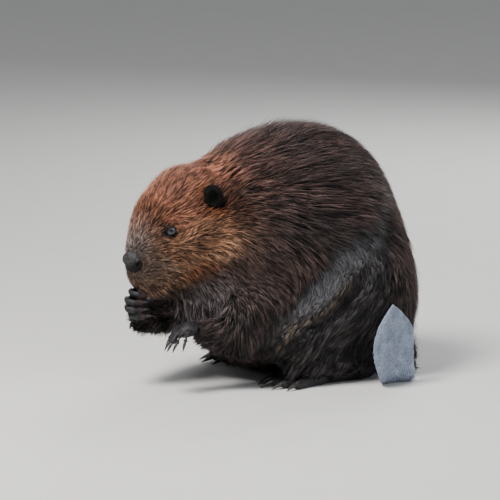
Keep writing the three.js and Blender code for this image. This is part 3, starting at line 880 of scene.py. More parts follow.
# The way the coat lies on the parts where it is the same all over.
ONE_LIE = {
    "foreleg_upper_left": unit(np.array([0.22, -0.1, -1.0])),
    "foreleg_upper_right": unit(np.array([0.22, 0.1, -1.0])),
    "foreleg_lower_left": unit(np.array([-0.95, -0.1, 0.1])),
    "foreleg_lower_right": unit(np.array([-0.75, -0.6, 0.25])),
    "hindfoot_left": np.array([-1.0, 0.0, -0.1]),
    "hindfoot_right": np.array([-1.0, 0.0, -0.1]),
    "tail_root": unit(np.array([0.2, -0.85, -0.45])),
}


def lie_of(node, points):
    """The way the coat lies on one solid."""
    if node in ONE_LIE:
        return np.tile(ONE_LIE[node], (len(points), 1))
    if part_of(node) in ("head", "lower_jaw", "nose", "eye"):
        return head_lie(points)
    if part_of(node) in ("thigh", "shin"):
        return haunch_lie(layout(points))
    return trunk_lie(layout(points))


def parted_by_eyes(points, lie):
    """The lie of the coat, flowing round each eye as water does round a post."""
    for sign in SIDES.values():
        centre, out, _, _ = eye_frame(sign)
        away = points - centre
        close = np.linalg.norm(away, axis=1, keepdims=True) < 32 * MM
        away = away - out * (away @ out)[:, None]
        far = np.linalg.norm(away, axis=1, keepdims=True) / (6.2 * MM)
        spoke = unit(away)
        turned_back = 2 * spoke * (lie * spoke).sum(axis=1, keepdims=True) - lie
        lie = lie - close * turned_back / np.maximum(far, 1) ** 2
    return lie


def coat_lie(shell, owner, names, is_head):
    """The lie over the whole shell, evened out from solid to solid, less so on the head."""
    lie = np.zeros_like(shell.points)
    for i, name in enumerate(names):
        mine = owner == i
        lie[mine] = lie_of(name, shell.points[mine])
    lie = shell.spread(lie, ROUNDS["lie"])
    of_head = shell.spread(is_head.astype(float), ROUNDS["head"])[:, None]
    lie = lie * of_head + shell.spread(lie, ROUNDS["body_lie"]) * (1 - of_head)
    return parted_by_eyes(shell.points, lie)


# The wet haunch.
def side_bell(p, middle, reach):
    """1 at a spot of the side given as x and z, fading out over its reach in x and z."""
    across, high = (p[:, 0] - middle[0]) / reach[0], (p[:, 2] - middle[1]) / reach[1]
    return np.exp(-(across**2) - high**2)


def haunch_marks(points):
    """How wet the haunch is, where the wet hair lies smooth, its fold and its long locks.

    The fold mark is 1 on its crest, a painted highlight, and -1 in the painted shade behind it.
    """
    p = layout(points)
    edge = beside(p, FLANK_EDGE) + 13 + 4 * wander(points, *WAVES["wet_edge"])
    edge += 2.5 * wander(points, *WAVES["small_wet_edge"])
    outer = ease(np.abs(p[:, 1]), 52, 74)
    wet = ease(edge, -2, 5) * (1 - ease(p[:, 0], 84, 104)) * outer
    fold = beside(p, FOLD_LINE)
    band = wet * (1 - ease(fold, -7, 1)) * ease(edge, 3, 12) * ease(p[:, 2], 74, 140)
    band = np.maximum(band, side_bell(p, (57, 170), (13, 34)) * wet * 0.5)
    # Painted highlight along the fold's crest, and painted shade in the hollow behind the fold.
    crest = wet * bell(fold, 0, 4.0) * (1 - ease(p[:, 2], 140, 165))
    shade = bell(fold, 13, 6.5) * (1 - ease(p[:, 2], 118, 140))
    shade = np.maximum(shade, side_bell(p, (28, 112), (14, 12)))
    locks = wet * ease(fold, 12, 24) * (1 - band)
    return wet, np.clip(band, 0, 1), crest - wet * shade * (1 - crest), locks


def haunch_relief(points, wet):
    """The fold, the hollow behind it and the low ridges of matted hair, in millimetres."""
    p = layout(points)
    fold = beside(p, FOLD_LINE)
    crest = 5.0 * bell(fold, -3, 9) * (1 - ease(p[:, 2], 140, 170))
    trough = -5.0 * bell(fold, 14, 9) * (1 - ease(p[:, 2], 120, 150))
    hollow = -8.0 * side_bell(p, (28, 113), (15, 11))
    across = p[:, 0] * 0.74 - p[:, 2] * 0.67
    ridges = 2.2 * np.sin(across * 2 * math.pi / 27 + 1.2 * np.sin(p[:, 2] / 23)) * ease(fold, 6, 20)
    return (crest + trough + hollow + ridges) * wet


# The furred body.
ARMPITS = ((-79, -105, 127), (-79, 105, 127))
ARMPIT_REACH = (42, 34, 30)


def nape_dip(points):
    """1 in the dip between the crown and the hump of the back."""
    p = layout(points)
    return bell(p[:, 0], -126, 24) * ease(p[:, 2], 255, 282)


def shell_round(names):
    """The surface at the coat's tips: the solids under one skin, with filled armpits."""
    shell = remeshed("body", names).eased(ROUNDS["shape"])
    p = layout(shell.points)
    armpit = sum(np.exp(-(((p - pit) / ARMPIT_REACH) ** 2).sum(axis=1)) for pit in ARMPITS)
    soft = shell.spread(shell.points, ROUNDS["armpits"])
    filled = shell.points + (soft - shell.points) * np.minimum(armpit, 1)[:, None]
    return Surface(filled, shell.faces)


def round_ears(points):
    """1 at the roots of the ears, 0 away from them."""
    forward, aside, up = head_reading(points)
    ears = np.zeros(len(points))
    for sign in SIDES.values():
        away = np.stack([forward + 22, aside - sign * 56, up - 24], axis=1)
        ears = np.maximum(ears, 1 - ease(np.linalg.norm(away, axis=1), 14, 30))
    return ears


def coat_table(shell, owner, names, is_head):
    """What grows at each point of the shell, in COAT's columns."""
    table = np.zeros((len(shell.points), COLUMNS))
    table[:, :WET] = np.array([COAT[part_of(n)] for n in names], float)[owner]
    forward, _, up = head_reading(shell.points)
    muzzle = ease(forward, 34, 74) * is_head
    cheek = ease(-up, -2, 26) * ease(-forward, -52, -10) * is_head
    ears = round_ears(shell.points)
    table[:, DEPTH] += 3.0 * cheek - 4.0 * muzzle + 3.0 * ears
    table[:, LENGTH] += 4.5 * cheek - 6.0 * muzzle - 4.0 * ears
    table[:, WIDTH] += 0.2 * cheek - 0.3 * muzzle
    table[:, CROWD] += np.where(table[:, CROWD] > 0, 24 * muzzle, 0)
    table[:, DEPTH] = np.maximum(table[:, DEPTH], 1.2)
    table[:, DEPTH] += 4.5 * (1 - ease(pad_reading(shell.points), 0.95, 1.4))
    table[:, DEPTH] += 4.0 * nape_dip(shell.points)
    grown = (table[:, CROWD] > 0).astype(float)
    table[:, :CROWD] = shell.spread(table[:, :CROWD], ROUNDS["depth"])
    table[:, CROWD:WET] = shell.spread(table[:, CROWD:WET], ROUNDS["crowd"])
    table[:, CROWD] *= shell.spread(grown, ROUNDS["bald_edge"]) > 0.55
    return table


def wet_haunches(table, points):
    """Marks the wet hair in the table and draws it into long thin locks behind the fold."""
    table[:, WET], table[:, BAND], table[:, FOLD_HIGHLIGHT_AND_SHADE], locks = haunch_marks(points)
    table[:, LENGTH] += 9.0 * locks
    table[:, WIDTH] -= 0.25 * locks
    table[:, SPACING] -= 1.5 * locks
    table[:, PULL] += 0.25 * locks


def furred_body():
    """The shell at the coat's tips, pushed in by the coat's depth, with what grows where."""
    names = [n for n in FLESH if part_of(n) not in STANDING_CLEAR] + ["eye_left", "eye_right"]
    shell = shell_round(names)
    owner = nearest_nodes(shell.points, names)
    on_head_nodes = [names.index(n) for n in ("head", "lower_jaw", "nose", "eye_left", "eye_right")]
    is_head = np.isin(owner, on_head_nodes)
    table = coat_table(shell, owner, names, is_head)
    lie = coat_lie(shell, owner, names, is_head)
    wet_haunches(table, shell.points)
    push = table[:, DEPTH] - haunch_relief(shell.points, table[:, WET])
    hide = Surface(shell.points - shell.normals() * push[:, None] * MM, shell.faces)
    hide = hide.smoothed(ROUNDS["hide"])
    hide.points[:, 2] = np.maximum(hide.points[:, 2], LOWEST_MM["hide"] * MM)
    return hide, table, lie, owner, names


# The eyes' frames and lids.
EYE_WIDE, EYE_HIGH = 0.71, 0.54
LID_STEPS = 48
LID_SWELL = 0.35

# The lid's profile from its inner edge round to its back: how far outside the opening each
# point is, in radians, and how far from the eye's middle, in millimetres.
LID_PROFILE = [
    (0.0, 7.4), (-0.02, 8.1), (0.03, 8.4), (0.12, 8.5), (0.28, 8.0), (0.5, 6.8), (0.3, 6.2),
]
LID_FRONT = range(1, 5)


def gaze(sign):
    """The way an eye looks."""
    return HEAD_TURN @ unit(np.array([-0.42, sign * 0.88, 0.2]))


def eye_frame(sign):
    """An eye's centre and the ways out, ahead and over it; the slit rises toward the nose."""
    centre = spot(*eye_middle(sign))
    out = unit(gaze(sign))
    ahead = -HEAD_TURN[:, 0] + 0.14 * HEAD_TURN[:, 2]
    ahead = unit(ahead - out * (ahead @ out))
    over = np.cross(out, ahead)
    over = over if over @ HEAD_TURN[:, 2] > 0 else -over
    return centre, out, ahead, over


def opening(angle):
    """Half the opening of the lids, in radians from the eye's axis, with a corner ahead."""
    c, s = np.cos(angle), np.sin(angle)
    high = np.where(s > 0, EYE_HIGH, EYE_HIGH * 0.94)
    return 1 / np.hypot(c / EYE_WIDE, s / high) + 0.60 * np.maximum(c, 0) ** 6


def lid_clearance(points, sign):
    """1 on the edge of the lids, less inside the opening, more outside."""
    centre, out, ahead, over = eye_frame(sign)
    away = points - centre
    far = np.linalg.norm(away, axis=1)
    off = np.arccos(np.clip(away @ out / np.maximum(far, 1e-9), -1, 1))
    angle = np.arctan2(away @ over, away @ ahead)
    return np.where(far < 12.5 * MM, off / opening(angle), 9.0)


def ring_faces(steps, rows):
    """The faces of a closed ring of closed profiles."""
    faces = []
    for k in range(steps):
        n = (k + 1) % steps
        for j in range(rows):
            m = (j + 1) % rows
            faces.append((k * rows + j, k * rows + m, n * rows + m, n * rows + j))
    return np.array(faces)


def lid_ring(sign):
    """A rim of lid round one eye, thin at its inner edge and sunk into the skin outside."""
    centre, out, ahead, over = eye_frame(sign)
    points = []
    for k in range(LID_STEPS):
        angle = ALL_ROUND * k / LID_STEPS
        way = math.cos(angle) * ahead + math.sin(angle) * over
        for i, (wide, radius) in enumerate(LID_PROFILE):
            off = float(opening(angle)) + wide
            swell = LID_SWELL * max(math.sin(angle), 0) if i in LID_FRONT else 0
            points.append(centre + (math.cos(off) * out + math.sin(off) * way) * (radius + swell) * MM)
    faces = ring_faces(LID_STEPS, len(LID_PROFILE))
    handed = np.dot(np.cross(ahead, over), out)
    return Surface(np.array(points), faces if handed < 0 else faces[:, ::-1])


# The nose pad.
def nose_pad(points):
    """A point's place on the nose pad: ahead, aside and up of its middle, in millimetres."""
    forward, aside, up = head_reading(points)
    return forward - NOSE_PLACE[0], aside, up - NOSE_PLACE[2]


def pad_reading(points):
    """1 on the nose pad's solid, less inside it, more outside."""
    ahead, aside, up = (away / radius for away, radius in zip(nose_pad(points), NOSE_RADII))
    return np.sqrt(ahead**2 + aside**2 + up**2)


def widened_pad():
    """The pad's solid, widened above, drawn in below and flattened in front."""
    pad = remeshed("nose", ["nose"])
    ahead, aside, up = nose_pad(pad.points)
    wide = 1.04 + 0.12 * ease(up, -4, 8) - 0.34 * ease(-up, 2, 14)
    tall = 1.0 + 0.10 * (up > 0)
    flat = np.where(ahead > 3, 3 + (ahead - 3) * 0.72, ahead)
    spots = np.stack([-(flat + NOSE_PLACE[0]), aside * wide, up * tall + NOSE_PLACE[2]], axis=1)
    return Surface(((spots @ HEAD_TURN.T) + HEAD_CENTRE + SHIFT) * MM, pad.faces)


def nostril_sink(ahead, aside, up, sign):
    """How deep a slanting nostril is sunk, less than nothing on the ridge below it."""
    a, b = ahead * -1.0 + 4.4, up - 1.6
    slant, cross = a * 0.9 + b * 0.43, -a * 0.43 + b * 0.9
    hole = 3.8 * np.exp(-((slant / 4.6) ** 2) - (cross / 2.3) ** 2)
    ridge = 1.3 * np.exp(-((slant / 5.0) ** 2) - ((cross + 4.6) / 1.7) ** 2)
    return (hole - ridge) * (aside * sign > 6)


def shaped_nose():
    """The nose pad: broad above, with a nostril on each flank and a groove below."""
    pad = widened_pad()
    ahead, aside, up = nose_pad(pad.points)
    sink = sum(nostril_sink(ahead, aside, up, sign) for sign in SIDES.values())
    sink += 1.2 * bell(aside, 0, 1.2) * ease(-up, -1, 8) * (ahead > 0)
    lump = 0.12 * np.sin(ahead * 2.1) * np.sin(aside * 1.9 + 1) * np.sin(up * 2.3)
    return Surface(pad.points - pad.normals() * ((sink + lump) * MM)[:, None], pad.faces).smoothed(1)


# The skin.
SKIN_MAKERS = {
    "beaver_hide": hide_material,
    "nose_leather": nose_material,
    "ear_leather": ear_material,
    "paw_leather": paw_material,
    "tail_leather": tail_material,
    "lid_skin": lid_material,
}


def make_skin(body, table):
    """One mesh for all the flesh: the furred body and the finely made bare parts."""
    ears = {side: remeshed("ear", [f"ear_{side}"]) for side in SIDES}
    blade = remeshed("tail_blade", ["tail_blade"])
    parts = [("beaver_hide", body), ("nose_leather", shaped_nose())]
    for side in SIDES:
        parts.append(("ear_leather", ears[side]))
        for part in ("forepaw", "hindfoot"):
            parts.append(("paw_leather", remeshed(part, [f"{part}_{side}"])))
    parts.append(("tail_leather", blade))
    parts += [("lid_skin", lid_ring(sign)) for sign in SIDES.values()]
    order = list(SKIN_MAKERS)
    base, faces, slots = 0, [], []
    for name, surface in parts:
        faces.append(surface.faces + base)
        slots.append(np.full(len(surface.faces), order.index(name)))
        base += len(surface.points)
    points = np.concatenate([surface.points for _, surface in parts])
    points[:, 2] = np.maximum(points[:, 2], LOWEST_MM["skin"] * MM)
    marks = {"wet": table[:, WET], "band": table[:, BAND], "fold": table[:, FOLD_HIGHLIGHT_AND_SHADE]}
    marks["short"] = 1 - ease(table[:, LENGTH], 5, 9)
    bare = np.zeros(len(points) - len(body.points))
    marks = {key: np.concatenate([values, bare]) for key, values in marks.items()}
    skin = mesh_object("beaver_skin", points, faces, marks)
    paint(skin, *(make() for make in SKIN_MAKERS.values()))
    skin.data.polygons.foreach_set("material_index", np.concatenate(slots).astype(np.int32))
    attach(skin, "root")
    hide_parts(*FLESH)
    return ears, blade


# The coat.
PATCH = 0.003

# The coat grows in three layers: short dark underfur below, toned near black as painted shade deep
# in the coat, long hair in clumps over it and a few longer single strands. Heights and arches are
# shares of the coat's depth, drawn between two.
LAYERS = {
    "under": {
        "crowd": 0.33, "long": 0.75, "wide": 2.0, "high": (0.05, 0.35),
        "arch": (0.35, 0.6), "clump": 1.0, "tone": (0.0, 0.12),
    },
    "guard": {
        "crowd": 0.57, "long": 1.0, "wide": 0.85, "high": (0.45, 1.0),
        "arch": (0.35, 0.6), "clump": 1.0, "tone": (0.08, 0.95),
    },
    "strand": {
        "crowd": 0.14, "long": 1.3, "wide": 0.6, "high": (0.8, 1.1),
        "arch": (0.7, 0.95), "clump": 0.45, "tone": (0.3, 1.0),
    },
}
STRAY_SHARE = 0.05
MOST_PULL = 0.88

# Each ring of a tuft: how far along the tuft it is and its share of the tuft's width.
RINGS = ((0.0, 0.75), (0.52, 1.0))
RING_SIDES = 3
TIP = RING_SIDES * len(RINGS)
SPIKE = TIP + 1
ROOT_DEPTH_MM = 1.0

# The fuzz of the ears: how many tufts on a square centimetre, their lengths and width, and how
# far they stand up.
EAR_CROWD = 110
EAR_LENGTHS = (2.6, 5.0)
EAR_WIDTH = 0.6
EAR_LIFTS = (0.2, 0.5)


def unwrapped(surface, chosen):
    """The chosen faces laid flat: the map places of their four corners."""
    used, index = np.unique(surface.faces[chosen], return_inverse=True)
    piece = mesh_object("unwrap", surface.points[used], [index.reshape(-1, 4)])
    bpy.context.view_layer.objects.active = piece
    piece.select_set(True)
    bpy.ops.object.mode_set(mode="EDIT")
    bpy.ops.mesh.select_all(action="SELECT")
    bpy.ops.uv.smart_project(angle_limit=math.radians(66), island_margin=0.004)
    bpy.ops.object.mode_set(mode="OBJECT")
    places = np.zeros(len(piece.data.loops) * 2, np.float32)
    piece.data.uv_layers.active.uv.foreach_get("vector", places)
    bpy.data.objects.remove(piece)
    return places.reshape(-1, 4, 2)


def scattered(weight, rng):
    """Triangles picked by their weight, evenly, with a random spot in each as corner shares."""
    total = np.cumsum(weight)
    count = int(total[-1])
    picks = np.searchsorted(total, (np.arange(count) + rng.random(count)) / count * total[-1])
    a, b = rng.random(count), rng.random(count)
    flip = a + b > 1
    a[flip], b[flip] = 1 - a[flip], 1 - b[flip]
    return np.minimum(picks, len(weight) - 1), np.stack([1 - a - b, a, b], axis=1)


def grow(surface, normals, chosen, table, lie, rng, crowd=1.0):
    """Roots and what is known at them for the tufts on the chosen faces."""
    quads = surface.faces[chosen]
    triangles = np.concatenate([quads[:, [0, 1, 2]], quads[:, [0, 2, 3]]])
    source = np.concatenate([np.arange(len(chosen))] * 2)
    half = np.repeat([0, 1], len(chosen))
    p = surface.points[triangles]
    area = np.linalg.norm(np.cross(p[:, 1] - p[:, 0], p[:, 2] - p[:, 0]), axis=1) / 2
    weight = area / MM**2 / 100 * table[triangles, CROWD].mean(axis=1) * crowd
    picks, share = scattered(weight, rng)
    corners = triangles[picks]

    def blended(values):
        return (values[corners] * share[..., None]).sum(axis=1)

    return {
        "root": blended(surface.points),
        "normal": unit(blended(normals)),
        "lie": blended(lie),
        "table": blended(table),
        "face": source[picks],
        "half": half[picks],
        "share": share,
    }


def clear_of_bare_parts(points, slack):
    """Which points lie outside the eyes and the nose pad."""
    clear = pad_reading(points) > 0.9 * slack
    for sign in SIDES.values():
        clear &= lid_clearance(points, sign) > 1.12 * slack
    return clear


def picked(tufts, which):
    return {key: value[which] for key, value in tufts.items()}


def joined(groups):
    return {key: np.concatenate([group[key] for group in groups]) for key in groups[0]}


def fullness(table):
    """1 in long dry hair, less in short hair and where wet hair lies smooth."""
    return ease(table[:, LENGTH], 4, 11) * (1 - 0.85 * table[:, BAND])


def swayed(tufts, rng):
    """The way each tuft lies on the skin, swung a little to one side."""
    root, normal = tufts["root"], tufts["normal"]
    along = laid_on(tufts["lie"], normal)
    sideways = np.cross(normal, along)
    sway = 0.15 * wander(root, *WAVES["sway"]) + 0.09 * wander(root, *WAVES["small_sway"])
    sway += rng.normal(0, 0.08, len(root))
    return unit(along * np.cos(sway)[:, None] + sideways * np.sin(sway)[:, None])


def tuft_lengths(tufts, layer, rng):
    """The tufts' lengths, shorter close to the eyes."""
    root = tufts["root"]
    length = tufts["table"][:, LENGTH] * MM * layer["long"] * rng.uniform(0.75, 1.2, len(root))
    for sign in SIDES.values():
        length = length * np.clip(0.4 + 0.4 * (lid_clearance(root, sign) - 1), 0.4, 1)
    return length


def tuft_heights(tufts, layer, rng):
    """How high the tips stand off the skin, and which tufts are stray and stand higher."""
    root, table = tufts["root"], tufts["table"]
    wet, long = table[:, WET], table[:, LENGTH]
    height = table[:, DEPTH] * MM * rng.uniform(*layer["high"], len(root))
    height = height * (1 - 0.68 * wet - 0.2 * table[:, BAND])
    p = layout(root)
    forward, _, up = head_reading(root)
    loft = bell(p[:, 0], -48, 44) * ease(p[:, 2], 215, 265) * ease(long, 16, 24)
    crown = bell(forward, 2, 34) * ease(up, 48, 72)
    height = height * (1 + 0.7 * loft + 0.6 * crown) * (1 - 0.5 * nape_dip(root))
    stray_share = STRAY_SHARE * (1 + 1.6 * ease(-long, -22, -14) * ease(up, 20, 50))
    stray = rng.random(len(root)) < stray_share * (layer["high"][1] > 0.9)
    return np.where(stray, height * 1.3 + 2.0 * MM * (1 - wet), height), stray


def raised(reached, height, skin, skin_normals, tree):
    """Points moved straight off the skin until they stand at their height above it."""
    nearest = np.array([tree.find(p)[1] for p in reached])
    lift_way = skin_normals[nearest]
    off = ((reached - skin.points[nearest]) * lift_way).sum(axis=1)
    return reached + lift_way * (height - off)[:, None]


def beard(tufts, rng):
    """How far the tips below the chin hang down and off the skin."""
    normal, long = tufts["normal"], tufts["table"][:, LENGTH]
    forward, _, up = head_reading(tufts["root"])
    hang = ease(-up, 30, 48) * ease(-normal[:, 2], 0.0, 0.5) * ease(forward, -40, -10) * (long > 6)
    hang = hang * rng.uniform(0.5, 1.1, len(up))
    return (normal * 3.0 + np.array([2.0, 0, -8.0])) * hang[:, None] * MM


def clump_seeds(tufts, layer, middle, rng):
    """For each tuft, the seed of its clump: the nearest of a few tufts picked by the spacing."""
    table = tufts["table"]
    crowd = table[:, CROWD] * layer["crowd"]
    spacing = table[:, SPACING] * MM
    chance = np.minimum(1, 1 / (crowd * (spacing / MM / 10) ** 2 + 1e-6))
    seeds = np.flatnonzero(rng.random(len(table)) < chance)
    tree = tree_of(middle[seeds])
    return seeds[[tree.find(p)[1] for p in middle]]


def drawn_together(tip, goal, pull, spacing):
    """Tips drawn toward their clump's goal, less the farther they are from it."""
    gap = np.linalg.norm(goal - tip, axis=1)
    pull = pull * np.clip(1.8 - gap / np.maximum(1.2 * spacing, 1e-6), 0, 1)
    return tip + (goal - tip) * np.clip(pull, 0, MOST_PULL)[:, None]


def tuft_tones(tufts, layer, seeds, rng):
    """How light each tuft is: mostly its clump's tone, with less contrast in short or wet hair."""
    root, table = tufts["root"], tufts["table"]
    own = rng.random(len(root))
    of_clump = rng.random(len(root))[seeds]
    mixed = np.clip(0.68 * of_clump + 0.32 * own + 0.06 * wander(root, *WAVES["tone"]), 0, 1)
    contrast = (0.1 + 0.9 * fullness(table)) * (0.74 + 0.26 * ease(table[:, LENGTH], 15, 24))
    contrast = contrast * (1 - 0.5 * table[:, BAND])
    mixed = 0.6 + (ease(mixed, 0.12, 0.88) - 0.6) * contrast
    low, high = layer["tone"]
    return low + (high - low) * mixed


def tuft_widths(table, layer, stray, rng):
    width = table[:, WIDTH] * MM * layer["wide"] * rng.uniform(0.7, 1.3, len(table))
    return width * np.where(stray, 0.7, 1) * (1 + 0.25 * table[:, BAND])


def kept_clear(tufts):
    """The tufts that clear the eyes and the nose pad, shortened up to three times to do so."""
    root = tufts["root"]
    for _ in range(3):
        free = clear_of_bare_parts(tufts["tip"], 0.95)
        free &= clear_of_bare_parts((root + tufts["bend"] * 2 + tufts["tip"]) / 4, 0.95)
        short = np.where(free, 1.0, 0.55)[:, None]
        for key in ("tip", "bend"):
            tufts[key] = root + (tufts[key] - root) * short
    return picked(tufts, free)


def comb(tufts, layer, skin, skin_normals, tree, rng):
    """Gives each tuft its tip: laid along the skin, swayed, and drawn into a clump."""
    tufts = picked(tufts, clear_of_bare_parts(tufts["root"], 1.0))
    root, normal, table = tufts["root"], tufts["normal"], tufts["table"]
    count = len(root)
    along = swayed(tufts, rng)
    length = tuft_lengths(tufts, layer, rng)
    height, stray = tuft_heights(tufts, layer, rng)
    tip = raised(root + along * length[:, None], height, skin, skin_normals, tree)
    tip = tip + beard(tufts, rng)
    pull = table[:, PULL] * rng.uniform(0.6, 1.4, count) * (1 - stray)
    pull = pull * (0.4 + 0.6 * fullness(table)) * layer["clump"]
    seeds = clump_seeds(tufts, layer, root + along * (length * 0.5)[:, None], rng)
    goal = tip[seeds] + along[seeds] * (0.15 * length[seeds])[:, None]
    tip = drawn_together(tip, goal, pull, table[:, SPACING] * MM)
    tip[:, 2] = np.maximum(tip[:, 2], LOWEST_MM["tip"] * MM)
    arch = table[:, DEPTH] * MM * rng.uniform(*layer["arch"], count) * (1 - 0.6 * table[:, WET])
    bend = root + (tip - root) * 0.45 + normal * arch[:, None]
    bend[:, 2] = np.maximum(bend[:, 2], LOWEST_MM["tip"] * MM)
    tone = tuft_tones(tufts, layer, seeds, rng)
    width = tuft_widths(table, layer, stray, rng)
    tufts.update(tip=tip, bend=bend, tone=tone, width=width)
    return kept_clear(tufts)


def spike_points(tufts):
    """Each tuft's points, ring by ring and then its tip, and how far out along it each lies."""
    count = len(tufts["root"])
    base = tufts["root"] - tufts["normal"] * (ROOT_DEPTH_MM * MM)
    bend, tip = tufts["bend"], tufts["tip"]
    points = np.zeros((count, SPIKE, 3))
    reach = np.zeros((count, SPIKE))
    for i, (s, full) in enumerate(RINGS):
        centre = base * (1 - s) ** 2 + bend * 2 * s * (1 - s) + tip * s**2
        heading = unit((bend - base) * (1 - s) + (tip - bend) * s)
        across = unit(np.cross(heading, tufts["normal"]))
        up = np.cross(across, heading)
        wide = (tufts["width"] * full / 2)[:, None]
        points[:, 3 * i] = centre - across * wide - up * wide * 0.3
        points[:, 3 * i + 1] = centre + across * wide - up * wide * 0.3
        points[:, 3 * i + 2] = centre + up * wide * 0.6
        reach[:, 3 * i : 3 * i + 3] = s
    points[:, TIP] = tip
    reach[:, TIP] = 1
    points[..., 2] = np.maximum(points[..., 2], LOWEST_MM["tuft"] * MM)
    return points, reach


def band_faces(first, row, sides):
    """For every first point of a stack of rings, the faces between one ring and the next."""
    quads = []
    for k in range(sides):
        n = (k + 1) % sides
        low, high = row * sides, (row + 1) * sides
        quads.append(first + np.array([[low + k, low + n, high + n, high + k]]))
    return quads


def cap_faces(first, row, sides, peak):
    """For every first point of a stack of rings, the faces between its last ring and its peak."""
    last = row * sides
    return [first + np.array([[last + k, last + (k + 1) % sides, peak]]) for k in range(sides)]


def spike_faces(count):
    """The four-cornered and the three-cornered faces of that many spikes."""
    first = (np.arange(count) * SPIKE)[:, None]
    quads = np.concatenate([q for row in range(len(RINGS) - 1) for q in band_faces(first, row, RING_SIDES)])
    ends = cap_faces(first, len(RINGS) - 1, RING_SIDES, TIP)
    ends.append(first + np.array([[2, 1, 0]]))
    return quads, np.concatenate(ends)


def map_places(tufts, corner_places):
    """Where each point of each tuft lies on the map: in a small patch at the tuft's root."""
    pick = np.where(tufts["half"][:, None] == 0, [[0, 1, 2]], [[0, 2, 3]])
    chosen = np.take_along_axis(corner_places[tufts["face"]], pick[..., None], axis=1)
    place = (chosen * tufts["share"][..., None]).sum(axis=1)
    patch = np.zeros((SPIKE, 2))
    for i in range(len(RINGS)):
        for k in range(RING_SIDES):
            patch[3 * i + k] = [(k - 1) * PATCH / 2, (i / len(RINGS) - 0.5) * PATCH]
    patch[TIP] = [0, PATCH / 2]
    return np.clip(place[:, None] + patch, 0, 1).reshape(-1, 2)


def tuft_mesh(name, tufts, corner_places, material):
    """One coat piece: each tuft is a closed three-sided spike, bent along its lie."""
    points, reach = spike_points(tufts)
    quads, tris = spike_faces(len(points))
    values = {"reach": reach.ravel(), "tone": np.repeat(tufts["tone"], SPIKE)}
    for key, column in (("wet", WET), ("band", BAND), ("fold", FOLD_HIGHLIGHT_AND_SHADE)):
        values[key] = np.repeat(tufts["table"][:, column], SPIKE)
    made = mesh_object(name, points.reshape(-1, 3), [quads, tris], values)
    spots = map_places(tufts, corner_places)
    order = np.concatenate([quads.ravel(), tris.ravel()])
    layer = made.data.uv_layers.new(name="OFBake")
    layer.uv.foreach_set("vector", spots[order].astype(np.float32).ravel())
    paint(made, material)
    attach(made, "root")


def coat_pieces(points, owner, names):
    """The name of the coat piece that each face belongs to."""
    part = np.array([part_of(n) for n in names])[owner]
    p = layout(points)
    forward, aside, _ = head_reading(points)
    left = p[:, 1] < 0
    head = np.isin(part, ["head", "lower_jaw", "nose", "eye"])
    hind = np.isin(part, ["thigh", "shin", "hindfoot"])
    fore = np.isin(part, ["foreleg_upper", "foreleg_lower"])
    label = np.full(len(points), "coat_belly", dtype=object)
    belly = p[:, 2] < 45
    for side, here in (("left", left), ("right", ~left)):
        label[here & ~belly] = f"coat_back_{side}"
        label[here & ~belly & (p[:, 2] < 175)] = f"coat_flank_{side}"
    label[part == "neck"] = "coat_neck"
    for side, here in (("left", aside < 0), ("right", aside >= 0)):
        label[head & here] = f"coat_cheek_{side}"
        label[head & here & (forward > 12)] = f"coat_face_{side}"
    for side, here in (("left", left), ("right", ~left)):
        label[hind & here] = f"coat_haunch_{side}"
        label[fore & here] = f"coat_foreleg_{side}"
    label[part == "tail_root"] = "coat_tail_root"
    return label


def make_coat(skin, table, lie, owner, names):
    """The coat, piece by piece, each with its own random draws."""
    material = coat_material()
    tree = tree_of(skin.points)
    normals = skin.normals()
    centres = skin.points[skin.faces].mean(axis=1)
    labels = coat_pieces(centres, owner[skin.faces[:, 0]], names)
    hairy = table[skin.faces, CROWD].mean(axis=1) > 1
    for place, label in enumerate(sorted(set(labels))):
        chosen = np.flatnonzero((labels == label) & hairy)
        if not len(chosen):
            continue
        rng = np.random.default_rng(SEEDS["coat"] + place)
        groups = []
        for layer in LAYERS.values():
            grown = grow(skin, normals, chosen, table, lie, rng, layer["crowd"])
            groups.append(comb(grown, layer, skin, normals, tree, rng))
        tuft_mesh(label, joined(groups), unwrapped(skin, chosen), material)


def make_ear_fuzz(side, ear, material):
    """Short dark hair all over one ear, lying toward its rim."""
    rng = np.random.default_rng(SEEDS["ears"] + SIDES[side])
    count = len(ear.points)
    table = np.zeros((count, COLUMNS))
    table[:, CROWD] = EAR_CROWD
    lie = np.tile(HEAD_TURN @ unit(np.array([0.15, SIDES[side] * 0.25, 1.0])), (count, 1))
    chosen = np.arange(len(ear.faces))
    tufts = grow(ear, ear.normals(), chosen, table, lie, rng)
    root, normal = tufts["root"], tufts["normal"]
    count = len(root)
    along = laid_on(tufts["lie"], normal)
    along = unit(along + rng.normal(0, 0.22, (count, 3)))
    length = rng.uniform(*EAR_LENGTHS, count)[:, None] * MM
    lift = rng.uniform(*EAR_LIFTS, count)[:, None]
    tufts["tip"] = root + (along + normal * lift) * length
    tufts["bend"] = root + along * length * 0.4 + normal * length * 0.3
    tufts["width"] = EAR_WIDTH * MM * rng.uniform(0.7, 1.3, count)
    tufts["tone"] = rng.random(count)
    tuft_mesh(f"coat_ear_{side}", tufts, unwrapped(ear, chosen), material)


# Eyes, claws, whiskers and scales. A claw's radii are shares of its solid's, from its root out.
CLAW_RADII = np.array([0.8, 1.0, 0.98, 0.92, 0.82, 0.68, 0.5, 0.3, 0.1])
CLAW_SIDES = 10
CLAW_SUNK_MM = 2.5
LIP_BRISTLES = 15
CHIN_BRISTLES = 46
SCALE_GAP_MM = 2.9
SCALE_SIDES = 6

# The rings of a scale from its foot up, as their height in millimetres and share of its size.
SCALE_RINGS = ((-0.5, 1.0), (0.2, 1.0), (0.6, 0.6))
SCALE_PEAK_MM = 0.68


